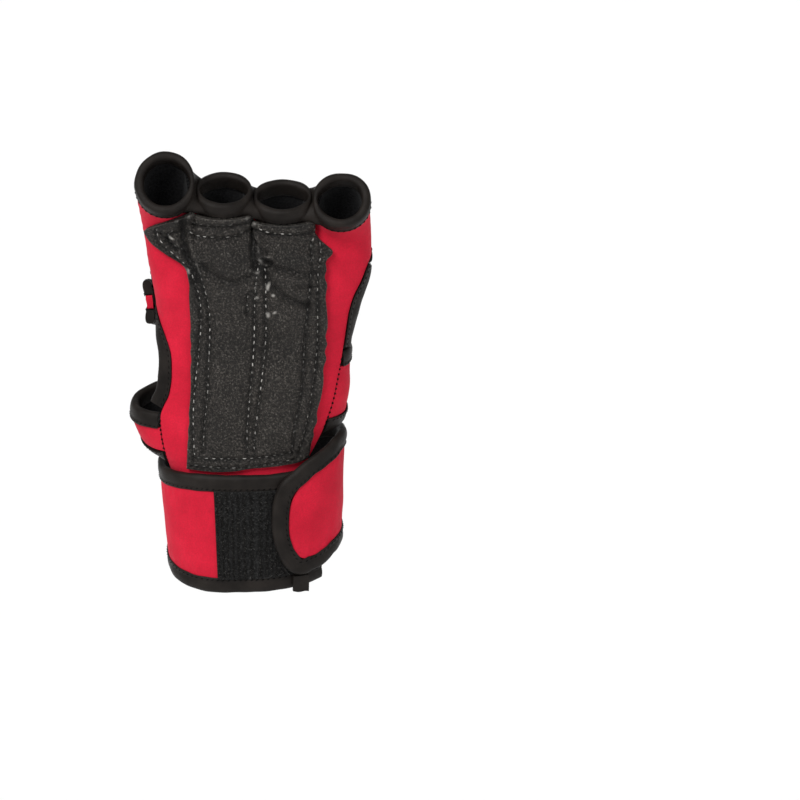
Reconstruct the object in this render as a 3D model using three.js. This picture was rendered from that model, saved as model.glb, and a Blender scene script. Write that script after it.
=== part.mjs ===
// Left-hand weightlifting glove in its worn form. Sizes are in millimetres.
// +Z runs up the hand, the palm faces -Y, the thumb side is -X, z = 0 is the lower hem.
import * as THREE from 'three';

// Driving sizes
const WALL = 2.6;
const GAP = 0.3;
const TAPE_ROOM = 0.34;
const STRAP_ROOM = 0.45;
const TAPE_HALF_THICKNESS = 1.7;
const TAPE_HALF_WIDTH = 2.8;
const WEB_TAPE_HALF_THICKNESS = 0.9;
const KNUCKLE_Z = 138;
const PANEL_FOOT_Z = 41;
const SECTION_POWER = 0.8;
const CENTRE_X = 1.5;
const PAD_THICKNESS = 1.7;
const PAD_LIFT = 0.35;
const LOOP_THICKNESS = 0.7;
const TAIL_THICKNESS = 1.2;
const BAND_FOOT = { thumbSide: 127, pinkySide: 136.6 };
const BACK_MM_PER_DEGREE = 0.6;
const STRAP_LIFT_DEPTH_SHARE = 1.6;
const WRIST_LIFT_DEPTH_SHARE = 1.5;
const RIM_PULL = 0.9;
const PAD_FILL = 0.5;
const THUMB_TAPE_FOOT_Z = 76.6;
const PINKY_SIDE_TAPE = { low: 98.2, high: 130.4 };
const BACK_TAPE_COLUMNS = { from: 0.012, to: 0.955 };

// Outer surface of the panels by height: the extents of each level section
const FORM_ROWS = [
  { z: 38, left: -33.2, right: 32.6, front: -22.9, back: 21.6 },
  { z: 46, left: -34.2, right: 33.2, front: -22.6, back: 21.5 },
  { z: 51, left: -37.2, right: 33.2, front: -21.9, back: 20.6 },
  { z: 56, left: -43.0, right: 33.4, front: -21.4, back: 19.6 },
  { z: 62, left: -46.6, right: 34.0, front: -21.0, back: 18.6 },
  { z: 69, left: -48.6, right: 36.8, front: -20.8, back: 17.6 },
  { z: 78, left: -46.8, right: 38.4, front: -20.2, back: 16.8 },
  { z: 90, left: -42.8, right: 38.9, front: -18.9, back: 16.0 },
  { z: 101, left: -39.2, right: 39.6, front: -17.4, back: 15.4 },
  { z: 112, left: -38.2, right: 43.0, front: -17.0, back: 15.0 },
  { z: 124, left: -39.8, right: 46.4, front: -17.4, back: 14.8 },
  { z: 134, left: -41.6, right: 47.4, front: -16.4, back: 14.6 },
  { z: 140, left: -42.3, right: 47.4, front: -15.4, back: 14.4 },
];

// Palm panel edges by height, as x on the palm side (beyond the form means its side line)
const PANEL_EDGES = [
  { z: 38, left: -31.0, right: 18.6 },
  { z: 46, left: -32.4, right: 19.2 },
  { z: 54, left: -34.4, right: 21.8 },
  { z: 64, left: -36.2, right: 27.0 },
  { z: 72, left: -36.6, right: 30.2 },
  { z: 77, left: -35.0, right: 31.8 },
  { z: 81, left: -33.2, right: 32.8 },
  { z: 86, left: -32.3, right: 33.8 },
  { z: 93, left: -32.0, right: 35.2 },
  { z: 98, left: -32.5, right: 36.0 },
  { z: 103, left: -34.2, right: 36.8 },
  { z: 109, left: -36.6, right: 37.6 },
  { z: 115, left: -38.6, right: 38.6 },
  { z: 121, left: -40.0, right: 40.4 },
  { z: 127, left: -41.2, right: 43.4 },
  { z: 133, left: -43.0, right: 46.0 },
  { z: 137, left: -43.0, right: 48.0 },
  { z: 140, left: -43.0, right: 48.0 },
];

// Finger openings: middle line of each tape. tilt is the opening's axis above level, in degrees
const FINGERS = [
  { name: 'index', x: -33.97, y: -10.0, z: 167.8, halfWidth: 10.5, halfDepth: 11.5, tilt: 40 },
  { name: 'middle', x: -11.0, y: -6.5, z: 162.4, halfWidth: 10.35, halfDepth: 9.5, tilt: 68 },
  { name: 'ring', x: 12.3, y: -6.0, z: 159.4, halfWidth: 10.85, halfDepth: 9.5, tilt: 70 },
  { name: 'pinky', x: 35.4, y: -10.0, z: 160.4, halfWidth: 10.1, halfDepth: 10.0, tilt: 44 },
];
const WEB_X = [-22.4, 0.4, 24.2];

// Grip pad side edges by height along the panel, as x on the palm side
const PAD_EDGES = [
  { h: 48, left: -25.8, right: 20.8 },
  { h: 60, left: -25.6, right: 22.6 },
  { h: 75, left: -24.8, right: 25.6 },
  { h: 95, left: -24.0, right: 28.4 },
  { h: 115, left: -24.2, right: 29.4 },
  { h: 128, left: -24.6, right: 29.2 },
  { h: 132, left: -25.2, right: 29.0 },
  { h: 135.6, left: -27.4, right: 29.2 },
  { h: 139, left: -33.0, right: 30.4 },
  { h: 144, left: -38.0, right: 31.8 },
  { h: 148, left: -40.4, right: 30.2 },
  { h: 153, left: -42.0, right: 27.0 },
  { h: 158, left: -42.4, right: 25.0 },
  { h: 168, left: -42.4, right: 24.2 },
];
const PAD_ENDS = [
  { across: 0.0, foot: 51.2, top: 152.0 },
  { across: 0.07, foot: 51.0, top: 160.0 },
  { across: 0.15, foot: 50.8, top: 166.0 },
  { across: 0.3, foot: 50.7, top: 167.4 },
  { across: 0.5, foot: 50.9, top: 167.4 },
  { across: 0.9, foot: 54.0, top: 167.0 },
  { across: 1.0, foot: 56.0, top: 164.0 },
];
const LOOP_TOP_H = 168;

// Back strap by turn round the hand: 0 is the palm side, 90 the little-finger side, 180 the back
const BACK_STRAP_ROWS = [
  { turn: 55, low: 64.4, forkLow: 82.0, forkHigh: 82.0, high: 97.4, lift: 0.0 },
  { turn: 90, low: 64.6, forkLow: 82.4, forkHigh: 82.4, high: 97.4, lift: 0.0 },
  { turn: 135, low: 65.0, forkLow: 83.0, forkHigh: 83.0, high: 99.4, lift: 0.0 },
  { turn: 180, low: 63.6, forkLow: 82.6, forkHigh: 85.6, high: 104.6, lift: 0.0 },
  { turn: 212, low: 60.6, forkLow: 79.6, forkHigh: 94.0, high: 112.8, lift: 0.8 },
  { turn: 232, low: 57.6, forkLow: 77.4, forkHigh: 99.8, high: 117.8, lift: 2.9 },
  { turn: 247, low: 55.4, forkLow: 75.6, forkHigh: 102.8, high: 120.8, lift: 4.1 },
  { turn: 262, low: 53.2, forkLow: 74.2, forkHigh: 105.0, high: 123.0, lift: 4.1 },
  { turn: 290, low: 50.8, forkLow: 73.0, forkHigh: 105.4, high: 123.4, lift: 3.6 },
  { turn: 330, low: 50.6, forkLow: 73.4, forkHigh: 105.4, high: 123.4, lift: 3.6 },
];
const FORK_TURN = 176;
const FORK_ROUND_TURN = 12;
const UPPER_ARM_END_TURN = 268;
const SEAM_ROOM_TURN = 1.3;
const CRESCENT_ROOM_TURN = 1.5;
const NEAR_SEAM_TURN = { pinkySide: 66, thumbSide: 300 };

// Wrist strap: outer surface by height, then its course by turn from the start under the D
const WRIST_ROWS = [
  { z: 0, left: -33.6, right: 31.6, front: -26.4, back: 24.6 },
  { z: 12, left: -34.6, right: 32.2, front: -26.4, back: 24.8 },
  { z: 28, left: -35.9, right: 32.8, front: -26.4, back: 25.0 },
  { z: 40, left: -37.0, right: 33.2, front: -26.3, back: 25.0 },
  { z: 50, left: -38.2, right: 33.4, front: -26.2, back: 25.0 },
  { z: 60, left: -39.0, right: 34.0, front: -25.4, back: 24.2 },
  { z: 68, left: -39.6, right: 34.6, front: -24.8, back: 23.4 },
];
const WRIST_COURSE = [
  { turn: -56, low: 3.6, high: 52.6, lift: 0.0 },
  { turn: -30, low: 2.6, high: 51.8, lift: 0.0 },
  { turn: 0, low: 0.8, high: 50.4, lift: 0.0 },
  { turn: 30, low: 0.0, high: 49.8, lift: 0.0 },
  { turn: 60, low: 1.4, high: 48.8, lift: 0.0 },
  { turn: 90, low: 4.0, high: 48.0, lift: 0.0 },
  { turn: 135, low: 5.6, high: 50.0, lift: 0.0 },
  { turn: 180, low: 8.6, high: 53.4, lift: 0.0 },
  { turn: 225, low: 14.0, high: 57.6, lift: 0.2 },
  { turn: 262, low: 16.0, high: 62.0, lift: 1.8 },
  { turn: 285, low: 16.0, high: 64.0, lift: 3.8 },
  { turn: 300, low: 14.6, high: 63.7, lift: 4.7 },
  { turn: 308, low: 12.6, high: 61.8, lift: 4.6 },
  { turn: 316, low: 10.9, high: 60.1, lift: 4.4 },
  { turn: 325, low: 9.7, high: 58.0, lift: 4.3 },
  { turn: 338, low: 5.6, high: 55.6, lift: 4.3 },
  { turn: 352, low: 7.0, high: 57.0, lift: 4.3 },
];
const STRAP_START_TURN = -54;
const D_START_TURN = 325;
const D_LENGTH = 17.6;
const D_POWER = 2.4;
const D_ROOM = 0.6;
const LOOP_FIELD_TURNS = { from: -44, to: 20.5 };
const TAIL = { fromTurn: 325, toTurn: 338, low: 1.4, high: 8.2, lift: 2.0 };

// Grid densities
const COLUMNS_PER_FINGER = 6;
const PANEL_BODY_ROWS = 16;
const PANEL_LOOP_ROWS = 5;
const RING_STEPS = 24;
const ARM_STEPS = 10;
const TRUNK_STEPS = 8;
const PAD_ROWS = 15;
const PAD_COLUMNS = 14;
const WRIST_STEPS = 32;
const WRIST_ROW_STEPS = 4;
const D_ROUND_SHARES = [0.3, 0.55, 0.75, 0.89, 0.97];
const D_TAPE_STEPS = 14;
const NORMAL_STEP = { u: 0.004, h: 0.4 };

const COLORS = {
  red: 0xc8203c,
  tape: 0x2b2a29,
  leather: 0x35332f,
  loop: 0x1d1d1d,
};

// Smooth reading of a table column, with level-free tangents from the neighbouring rows
function read(rows, by, at, column) {
  const last = rows.length - 1;
  if (at <= rows[0][by]) {
    return rows[0][column];
  }
  if (at >= rows[last][by]) {
    return rows[last][column];
  }
  let i = 0;
  while (rows[i + 1][by] < at) {
    i += 1;
  }
  const slope = (a, b) => (rows[b][column] - rows[a][column]) / (rows[b][by] - rows[a][by]);
  const span = rows[i + 1][by] - rows[i][by];
  const t = (at - rows[i][by]) / span;
  const m0 = slope(Math.max(i - 1, 0), i + 1) * span;
  const m1 = slope(i, Math.min(i + 2, last)) * span;
  return hermite(rows[i][column], m0, rows[i + 1][column], m1, t);
}

function hermite(p0, m0, p1, m1, t) {
  const t2 = t * t;
  const t3 = t2 * t;
  const ends = (2 * t3 - 3 * t2 + 1) * p0 + (3 * t2 - 2 * t3) * p1;
  return ends + (t3 - 2 * t2 + t) * m0 + (t3 - t2) * m1;
}

function radians(degrees) {
  return (degrees * Math.PI) / 180;
}

function power(v) {
  return Math.sign(v) * Math.pow(Math.abs(v), SECTION_POWER);
}

// Point of a level section: angle 0 is the palm side, 90 the little-finger side, -90 the thumb side
function sectionPoint(rows, angle, z) {
  const s = power(Math.sin(radians(angle)));
  const c = power(Math.cos(radians(angle)));
  const edge = read(rows, 'z', z, s < 0 ? 'left' : 'right');
  const depth = read(rows, 'z', z, c < 0 ? 'back' : 'front');
  return new THREE.Vector3(CENTRE_X + Math.abs(s) * (edge - CENTRE_X), Math.abs(c) * depth, z);
}

function angleAtX(x, z) {
  const edge = read(FORM_ROWS, 'z', z, x < CENTRE_X ? 'left' : 'right');
  const share = Math.min(1, Math.max(0, (x - CENTRE_X) / (edge - CENTRE_X)));
  const angle = (Math.asin(Math.pow(share, 1 / SECTION_POWER)) * 180) / Math.PI;
  return x < CENTRE_X ? -angle : angle;
}

// Angle of column u at the knuckles, where u runs 0 to 1 over the four fingers
function knuckleAngle(u) {
  const marks = [-90, ...WEB_X.map((x) => angleAtX(x, KNUCKLE_Z)), 90];
  const i = Math.min(3, Math.floor(u * 4));
  return marks[i] + (marks[i + 1] - marks[i]) * (u * 4 - i);
}

function openingAxis(finger) {
  const tilt = radians(finger.tilt);
  return new THREE.Vector3(0, -Math.cos(tilt), Math.sin(tilt));
}

function openingRise(finger) {
  const tilt = radians(finger.tilt);
  return new THREE.Vector3(0, Math.sin(tilt), Math.cos(tilt));
}

// Centre of a finger loop's fabric rim, just under its tape
function rimCentre(finger) {
  const drop = TAPE_HALF_WIDTH + GAP;
  return new THREE.Vector3(finger.x, finger.y, finger.z).addScaledVector(openingAxis(finger), -drop);
}

// Rim point of column u. side is -1 for the palm side and 1 for the back; fill closes the grooves
function rimPoint(u, side, fill) {
  const i = Math.min(3, Math.floor(u * 4));
  const part = u * 4 - i;
  const web = Math.abs(part) < 1e-6 || Math.abs(part - 1) < 1e-6;
  if (web && i > 0 && part < 0.5) {
    return webPoint(i - 1, i, side, fill);
  }
  return lobePoint(FINGERS[i], i, part, side, fill);
}

function lobePoint(finger, i, part, side, fill) {
  const turn = radians(180 - 180 * part);
  const web = WALL + GAP / 2;
  const start = i === 0 ? GAP / 2 : web;
  const end = i === 3 ? GAP / 2 : web;
  const edge = start + (end - start) * part;
  const halfDepth = finger.halfDepth + WALL / 2;
  const bulge = fill + (1 - fill) * Math.sin(turn);
  const rise = edge + (halfDepth - edge) * bulge;
  const leftGrow = i === 0 ? WALL / 2 : WEB_TAPE_HALF_THICKNESS;
  const rightGrow = i === 3 ? WALL / 2 : WEB_TAPE_HALF_THICKNESS;
  const c = Math.cos(turn);
  const reach = finger.halfWidth + (c < 0 ? leftGrow : rightGrow);
  const point = rimCentre(finger).addScaledVector(openingRise(finger), side * rise);
  point.x += reach * c;
  return point;
}

// The web between two fingers lies below both openings
function webPoint(a, b, side, fill) {
  const point = lobePoint(FINGERS[a], a, 1, side, fill);
  point.lerp(lobePoint(FINGERS[b], b, 0, side, fill), 0.5);
  [FINGERS[a], FINGERS[b]].forEach((finger) => {
    const axis = openingAxis(finger);
    const over = point.clone().sub(rimCentre(finger)).dot(axis);
    point.addScaledVector(axis, -Math.max(0, over));
  });
  return point;
}

function columnAxis(u) {
  const i = Math.min(3, Math.floor(u * 4));
  const part = u * 4 - i;
  const axis = openingAxis(FINGERS[i]);
  if (part < 1e-6 && i > 0) {
    axis.add(openingAxis(FINGERS[i - 1])).normalize();
  }
  return axis;
}

// Outer surface of the finger loops above the knuckles, t runs 0 to 1
function loopPoint(u, t, side, fill) {
  const angle = side < 0 ? knuckleAngle(u) : 180 - knuckleAngle(u);
  const p0 = sectionPoint(FORM_ROWS, angle, KNUCKLE_Z);
  const below = sectionPoint(FORM_ROWS, angle, KNUCKLE_Z - 4);
  const p1 = rimPoint(u, side, fill);
  const length = p0.distanceTo(p1);
  const m0 = p0.clone().sub(below).normalize().multiplyScalar(length);
  const m1 = columnAxis(u).multiplyScalar(length * RIM_PULL);
  return new THREE.Vector3(
    hermite(p0.x, m0.x, p1.x, m1.x, t),
    hermite(p0.y, m0.y, p1.y, m1.y, t),
    hermite(p0.z, m0.z, p1.z, m1.z, t),
  );
}

// Palm side of the form: u across the panel, h up it (h is z up to the knuckles)
function palmPoint(u, h, fill) {
  if (h > KNUCKLE_Z) {
    const t = (h - KNUCKLE_Z) / (LOOP_TOP_H - KNUCKLE_Z);
    return loopPoint(u, Math.min(1, t), -1, fill);
  }
  const left = angleAtX(read(PANEL_EDGES, 'z', h, 'left'), h);
  const right = angleAtX(read(PANEL_EDGES, 'z', h, 'right'), h);
  const share = (knuckleAngle(u) + 90) / 180;
  return sectionPoint(FORM_ROWS, left + (right - left) * share, h);
}

function backPoint(u, h) {
  if (h > KNUCKLE_Z) {
    const t = (h - KNUCKLE_Z) / (LOOP_TOP_H - KNUCKLE_Z);
    return loopPoint(u, Math.min(1, t), 1, 0);
  }
  return sectionPoint(FORM_ROWS, 180 - knuckleAngle(u), h);
}

// Unit normal of a surface given as a function of two parameters, turned away from the hand
function normalOf(surface, a, b, stepA, stepB, flip) {
  const along = surface(a + stepA, b).sub(surface(a - stepA, b));
  const up = surface(a, b + stepB).sub(surface(a, b - stepB));
  const normal = along.cross(up).normalize();
  return flip ? normal.negate() : normal;
}

// Closed wall from matching outer and inner points and the quads over them
function wall(outer, inner, quads) {
  const count = outer.length;
  const triangles = [];
  const edges = new Map();
  const key = (a, b) => a * count + b;
  quads.forEach(([a, b, c, d]) => {
    triangles.push([a, b, c], [a, c, d]);
    triangles.push([a + count, c + count, b + count], [a + count, d + count, c + count]);
    [[a, b], [b, c], [c, d], [d, a]].forEach(([p, q]) => edges.set(key(p, q), [p, q]));
  });
  edges.forEach(([p, q]) => {
    if (!edges.has(key(q, p))) {
      triangles.push([q, p, p + count], [q, p + count, q + count]);
    }
  });
  return solid([...outer, ...inner], triangles);
}

function solid(points, triangles) {
  const geometry = new THREE.BufferGeometry();
  const flat = points.flatMap((p) => [p.x, p.y, p.z]);
  geometry.setAttribute('position', new THREE.Float32BufferAttribute(flat, 3));
  geometry.setIndex(triangles.flat());
  geometry.computeVertexNormals();
  return geometry;
}

// Quads of a grid with the given numbers of rows and columns of points
function gridQuads(rows, columns, flip) {
  const quads = [];
  for (let r = 0; r < rows - 1; r += 1) {
    for (let c = 0; c < columns - 1; c += 1) {
      const a = r * columns + c;
      const quad = [a, a + 1, a + columns + 1, a + columns];
      quads.push(flip ? quad.reverse() : quad);
    }
  }
  return quads;
}

function steps(from, to, count) {
  return Array.from({ length: count + 1 }, (_, i) => from + ((to - from) * i) / count);
}

// Folded tape swept along points: across and out are its two section axes at each point
function tape(points, across, out, halfWidth, halfThickness, closed) {
  const corners = [
    [1, 0.35], [0.72, 1], [-0.72, 1], [-1, 0.35], [-1, -0.35], [-0.72, -1], [0.72, -1], [1, -0.35],
  ];
  const vertices = [];
  const triangles = [];
  const sides = corners.length;
  points.forEach((point, i) => {
    corners.forEach(([w, t]) => {
      const vertex = point.clone().addScaledVector(across[i], w * halfWidth);
      vertices.push(vertex.addScaledVector(out[i], t * halfThickness[i]));
    });
  });
  const rings = closed ? points.length : points.length - 1;
  for (let i = 0; i < rings; i += 1) {
    const a = i * sides;
    const b = ((i + 1) % points.length) * sides;
    for (let k = 0; k < sides; k += 1) {
      const n = (k + 1) % sides;
      triangles.push([a + k, a + n, b + n], [a + k, b + n, b + k]);
    }
  }
  if (!closed) {
    const end = (points.length - 1) * sides;
    for (let k = 1; k < sides - 1; k += 1) {
      triangles.push([0, k + 1, k], [end, end + k, end + k + 1]);
    }
  }
  return outward(vertices, triangles);
}

// Turns the triangles over when the body they close has a negative volume
function outward(vertices, triangles) {
  let volume = 0;
  triangles.forEach(([a, b, c]) => {
    volume += vertices[a].dot(vertices[b].clone().cross(vertices[c]));
  });
  const turned = volume < 0 ? triangles.map(([a, b, c]) => [a, c, b]) : triangles;
  return solid(vertices, turned);
}

// Tape seated on the edge of a wall: edge points on the outer surface, normals and the way off the edge
function edgeTape(edge, normals, away, halfWidth) {
  const points = edge.map((point, i) => {
    const centre = point.clone().addScaledVector(away[i], halfWidth + GAP + TAPE_ROOM / 2);
    return centre.addScaledVector(normals[i], -WALL / 2);
  });
  const thickness = edge.map(() => TAPE_HALF_THICKNESS);
  return tape(points, away, normals, halfWidth, thickness, false);
}

// The way off an edge: square to its run and to the normal, on the side of the hint
function awayFrom(edge, normals, hint) {
  return edge.map((point, i) => {
    const before = edge[Math.max(0, i - 1)];
    const after = edge[Math.min(edge.length - 1, i + 1)];
    const run = after.clone().sub(before);
    const away = run.cross(normals[i]).normalize();
    return away.dot(hint(i)) < 0 ? away.negate() : away;
  });
}

function mesh(name, geometry, color, roughness) {
  const material = new THREE.MeshStandardMaterial({ color, roughness, metalness: 0 });
  const node = new THREE.Mesh(geometry, material);
  node.name = name;
  return node;
}

function palmPanel() {
  const surface = (u, h) => palmPoint(u, h, 0);
  const columns = steps(0, 1, COLUMNS_PER_FINGER * 4);
  const body = steps(PANEL_FOOT_Z, KNUCKLE_Z, PANEL_BODY_ROWS);
  const loops = steps(KNUCKLE_Z, LOOP_TOP_H, PANEL_LOOP_ROWS).slice(1);
  const rows = [...body, ...loops].map((h) => () => h);
  return mesh('palm_panel', loopWall(surface, columns, rows, -1), COLORS.red, 0.85);
}

function bandFoot(u) {
  const t = u * u * (3 - 2 * u);
  return BAND_FOOT.thumbSide + (BAND_FOOT.pinkySide - BAND_FOOT.thumbSide) * t;
}

function fingerBackBand() {
  const columns = steps(0, 1, COLUMNS_PER_FINGER * 4);
  const body = [(u) => bandFoot(u), (u) => (bandFoot(u) + KNUCKLE_Z) / 2];
  const loops = steps(KNUCKLE_Z, LOOP_TOP_H, PANEL_LOOP_ROWS).map((h) => () => h);
  const rows = [...body, ...loops];
  return mesh('finger_back_band', loopWall(backPoint, columns, rows, 1), COLORS.red, 0.85);
}

// Wall of the finger loops: side is -1 for the palm side and 1 for the back
function loopWall(surface, columns, rows, side) {
  const outer = [];
  const inner = [];
  rows.forEach((heightOf) => {
    columns.forEach((u) => {
      const h = heightOf(u);
      const [point, normal] = loopWallPoint(surface, u, h, side);
      const back = point.clone().addScaledVector(normal, -WALL);
      if (h >= LOOP_TOP_H && isWeb(u)) {
        keepBelowOpenings(back, u);
      }
      outer.push(point);
      inner.push(back);
    });
  });
  return wall(outer, inner, gridQuads(rows.length, columns.length, side > 0));
}

function isWeb(u) {
  const part = (u * 4) % 1;
  return u > 0.01 && u < 0.99 && (part < 1e-6 || part > 1 - 1e-6);
}

function keepBelowOpenings(point, u) {
  const i = Math.round(u * 4);
  [FINGERS[i - 1], FINGERS[i]].forEach((finger) => {
    const axis = openingAxis(finger);
    const over = point.clone().sub(rimCentre(finger)).dot(axis);
    point.addScaledVector(axis, -Math.max(0, over));
  });
}

function loopWallPoint(surface, u, h, side) {
  const flip = side > 0;
  const a = Math.min(1 - NORMAL_STEP.u, Math.max(NORMAL_STEP.u, u));
  const b = Math.min(LOOP_TOP_H - NORMAL_STEP.h, h);
  const atSide = (u === 0 && h >= BAND_FOOT.thumbSide - 1) || (u === 1 && h >= BAND_FOOT.pinkySide);
  if (atSide) {
    return sideSeamPoint(u, h, a, b, side);
  }
  if (isWeb(u) && h > KNUCKLE_Z) {
    const up = surface(u, b).sub(surface(u, b - NORMAL_STEP.h));
    return [surface(u, h), new THREE.Vector3(-side, 0, 0).cross(up).normalize()];
  }
  const normal = normalOf(surface, a, b, NORMAL_STEP.u, NORMAL_STEP.h, flip);
  if (h >= LOOP_TOP_H) {
    const axis = openingAxis(FINGERS[Math.min(3, Math.floor(u * 4))]);
    normal.addScaledVector(axis, -normal.dot(axis)).normalize();
  }
  return [surface(u, h), normal];
}

// The seam where the palm panel meets the finger back band, half a gap to either side
function sideSeamPoint(u, h, a, b, side) {
  const palm = (x, y) => palmPoint(x, y, 0);
  const point = palm(u, h).lerp(backPoint(u, h), 0.5);
  const normal = normalOf(palm, a, b, NORMAL_STEP.u, NORMAL_STEP.h, false);
  normal.add(normalOf(backPoint, a, b, NORMAL_STEP.u, NORMAL_STEP.h, true));
  const run = palm(u, b).add(backPoint(u, b)).sub(palm(u, b - 1)).sub(backPoint(u, b - 1)).normalize();
  normal.addScaledVector(run, -normal.dot(run)).normalize();
  const off = run.cross(normal).normalize();
  const sign = off.y > 0 ? 1 : -1;
  return [point.addScaledVector(off, (sign * side * GAP) / 2), normal];
}

// Palm column at which a row has the given x
function columnAtX(x, h, fill) {
  let low = 0;
  let high = 1;
  for (let i = 0; i < 24; i += 1) {
    const mid = (low + high) / 2;
    if (palmPoint(mid, h, fill).x < x) {
      low = mid;
    } else {
      high = mid;
    }
  }
  return (low + high) / 2;
}

function gripPad() {
  const surface = (c, r) => {
    const foot = read(PAD_ENDS, 'across', c, 'foot');
    const top = read(PAD_ENDS, 'across', c, 'top');
    const h = foot + (top - foot) * r;
    const left = columnAtX(read(PAD_EDGES, 'h', h, 'left'), h, PAD_FILL);
    const right = columnAtX(read(PAD_EDGES, 'h', h, 'right'), h, PAD_FILL);
    return palmPoint(left + (right - left) * c, h, PAD_FILL);
  };
  const outer = [];
  const inner = [];
  const rows = steps(0, 1, PAD_ROWS);
  const columns = steps(0, 1, PAD_COLUMNS);
  rows.forEach((r) => {
    columns.forEach((c) => {
      const cc = Math.min(0.99, Math.max(0.01, c));
      const rr = Math.min(0.99, Math.max(0.01, r));
      const point = surface(c, r);
      const normal = normalOf(surface, cc, rr, 0.01, 0.01, false);
      inner.push(point.clone().addScaledVector(normal, PAD_LIFT));
      outer.push(point.clone().addScaledVector(normal, PAD_LIFT + PAD_THICKNESS));
    });
  });
  const geometry = wall(outer, inner, gridQuads(rows.length, columns.length, false));
  return mesh('grip_pad', geometry, COLORS.leather, 0.6);
}

function fingerBinding(finger, i) {
  const rise = openingRise(finger);
  const axis = openingAxis(finger);
  const points = [];
  const across = [];
  const out = [];
  const thickness = [];
  steps(0, 360, RING_STEPS).slice(0, RING_STEPS).forEach((degrees) => {
    const c = Math.cos(radians(degrees));
    const s = Math.sin(radians(degrees));
    const point = new THREE.Vector3(finger.x + finger.halfWidth * c, finger.y, finger.z);
    points.push(point.addScaledVector(rise, finger.halfDepth * s));
    across.push(axis);
    const normal = new THREE.Vector3(c / finger.halfWidth, 0, 0).addScaledVector(rise, s / finger.halfDepth);
    out.push(normal.normalize());
    const free = (i === 0 && c < 0) || (i === 3 && c > 0);
    const squeeze = free ? 0 : Math.pow(Math.abs(c), 6);
    const drop = TAPE_HALF_THICKNESS - WEB_TAPE_HALF_THICKNESS;
    thickness.push(TAPE_HALF_THICKNESS - drop * squeeze);
  });
  const geometry = tape(points, across, out, TAPE_HALF_WIDTH, thickness, true);
  return mesh(`${finger.name}_binding`, geometry, COLORS.tape, 0.9);
}

// Angle reached by going a given length round a level section from an angle
function angleAlong(angle, z, length, sign) {
  const step = 0.25;
  let at = angle;
  let gone = 0;
  while (gone < length) {
    const here = sectionPoint(FORM_ROWS, at, z);
    at += sign * step;
    gone += here.distanceTo(sectionPoint(FORM_ROWS, at, z));
  }
  return at;
}

// Tape on the palm panel's thumb side (sign -1) or little-finger side (sign 1)
function sideBinding(name, sign, heights) {
  const column = sign < 0 ? 'left' : 'right';
  const room = TAPE_HALF_WIDTH + GAP + 1.5 * TAPE_ROOM;
  const edgePoint = (z) => sectionPoint(FORM_ROWS, angleAtX(read(PANEL_EDGES, 'z', z, column), z), z);
  const points = [];
  const normals = [];
  heights.forEach((z) => {
    const rise = edgePoint(z + 1).sub(edgePoint(z - 1));
    const slant = rise.length() / 2;
    const angle = angleAlong(angleAtX(read(PANEL_EDGES, 'z', z, column), z), z, room * slant, sign);
    const surface = (a, b) => sectionPoint(FORM_ROWS, a, b);
    const normal = normalOf(surface, angle, z, 1, 0.4, false);
    points.push(sectionPoint(FORM_ROWS, angle, z).addScaledVector(normal, -WALL / 2));
    normals.push(normal);
  });
  return mesh(name, middleTape(points, normals), COLORS.tape, 0.9);
}

function backEdgeBinding() {
  const edge = [];
  const normals = [];
  steps(BACK_TAPE_COLUMNS.from, BACK_TAPE_COLUMNS.to, 20).forEach((u) => {
    edge.push(backPoint(u, bandFoot(u)));
    normals.push(normalOf(backPoint, u, bandFoot(u), NORMAL_STEP.u, NORMAL_STEP.h, true));
  });
  const away = awayFrom(edge, normals, () => new THREE.Vector3(0, 0, -1));
  return mesh('back_edge_binding', edgeTape(edge, normals, away, TAPE_HALF_WIDTH), COLORS.tape, 0.9);
}

// Back strap surface by turn and height, turn 0 on the palm side and 90 on the little-finger side
function strapPoint(turn, z, lift) {
  const point = sectionPoint(FORM_ROWS, turn, z);
  if (lift === 0) {
    return point;
  }
  const flat = new THREE.Vector3(point.x - CENTRE_X, point.y * STRAP_LIFT_DEPTH_SHARE, 0).normalize();
  return point.addScaledVector(flat, lift);
}

function strapNormal(turn, z, lift) {
  const a = strapPoint(turn + 1, z, lift).sub(strapPoint(turn - 1, z, lift));
  const b = strapPoint(turn, z + 0.5, lift).sub(strapPoint(turn, z - 0.5, lift));
  return a.cross(b).normalize();
}

// Turn at which the back strap ends against the palm panel's edge, by height
function seamTurn(z, side) {
  const x = read(PANEL_EDGES, 'z', z, side);
  const off = (GAP + 0.1) / BACK_MM_PER_DEGREE;
  return side === 'right' ? angleAtX(x, z) + off : 360 + angleAtX(x, z) - off;
}

const STRAP_TRIM = 2 * TAPE_HALF_WIDTH + GAP + STRAP_ROOM;

function strapHeight(turn, column) {
  return read(BACK_STRAP_ROWS, 'turn', turn, column);
}

// Fork opening between the two arms: its middle height and its half width between tapes' middle lines
function forkMiddle(turn) {
  return (strapHeight(turn, 'forkLow') + strapHeight(turn, 'forkHigh')) / 2;
}

function forkHalf(turn, trim) {
  const round = FORK_TURN + FORK_ROUND_TURN;
  const at = Math.max(turn, round);
  const half = (strapHeight(at, 'forkHigh') - strapHeight(at, 'forkLow')) / 2 + trim;
  if (turn >= round) {
    return half;
  }
  const share = (round - turn) / FORK_ROUND_TURN;
  return half * Math.sqrt(Math.max(0, 1 - share * share));
}

// Height of the arm's point: row 0 is its lower edge and row 1 its upper
function armHeight(turn, row, upper) {
  const low = upper ? forkMiddle(turn) + forkHalf(turn, STRAP_TRIM) : strapHeight(turn, 'low') + STRAP_TRIM;
  const high = upper ? strapHeight(turn, 'high') - STRAP_TRIM : forkMiddle(turn) - forkHalf(turn, STRAP_TRIM);
  return low + (high - low) * row;
}

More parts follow.
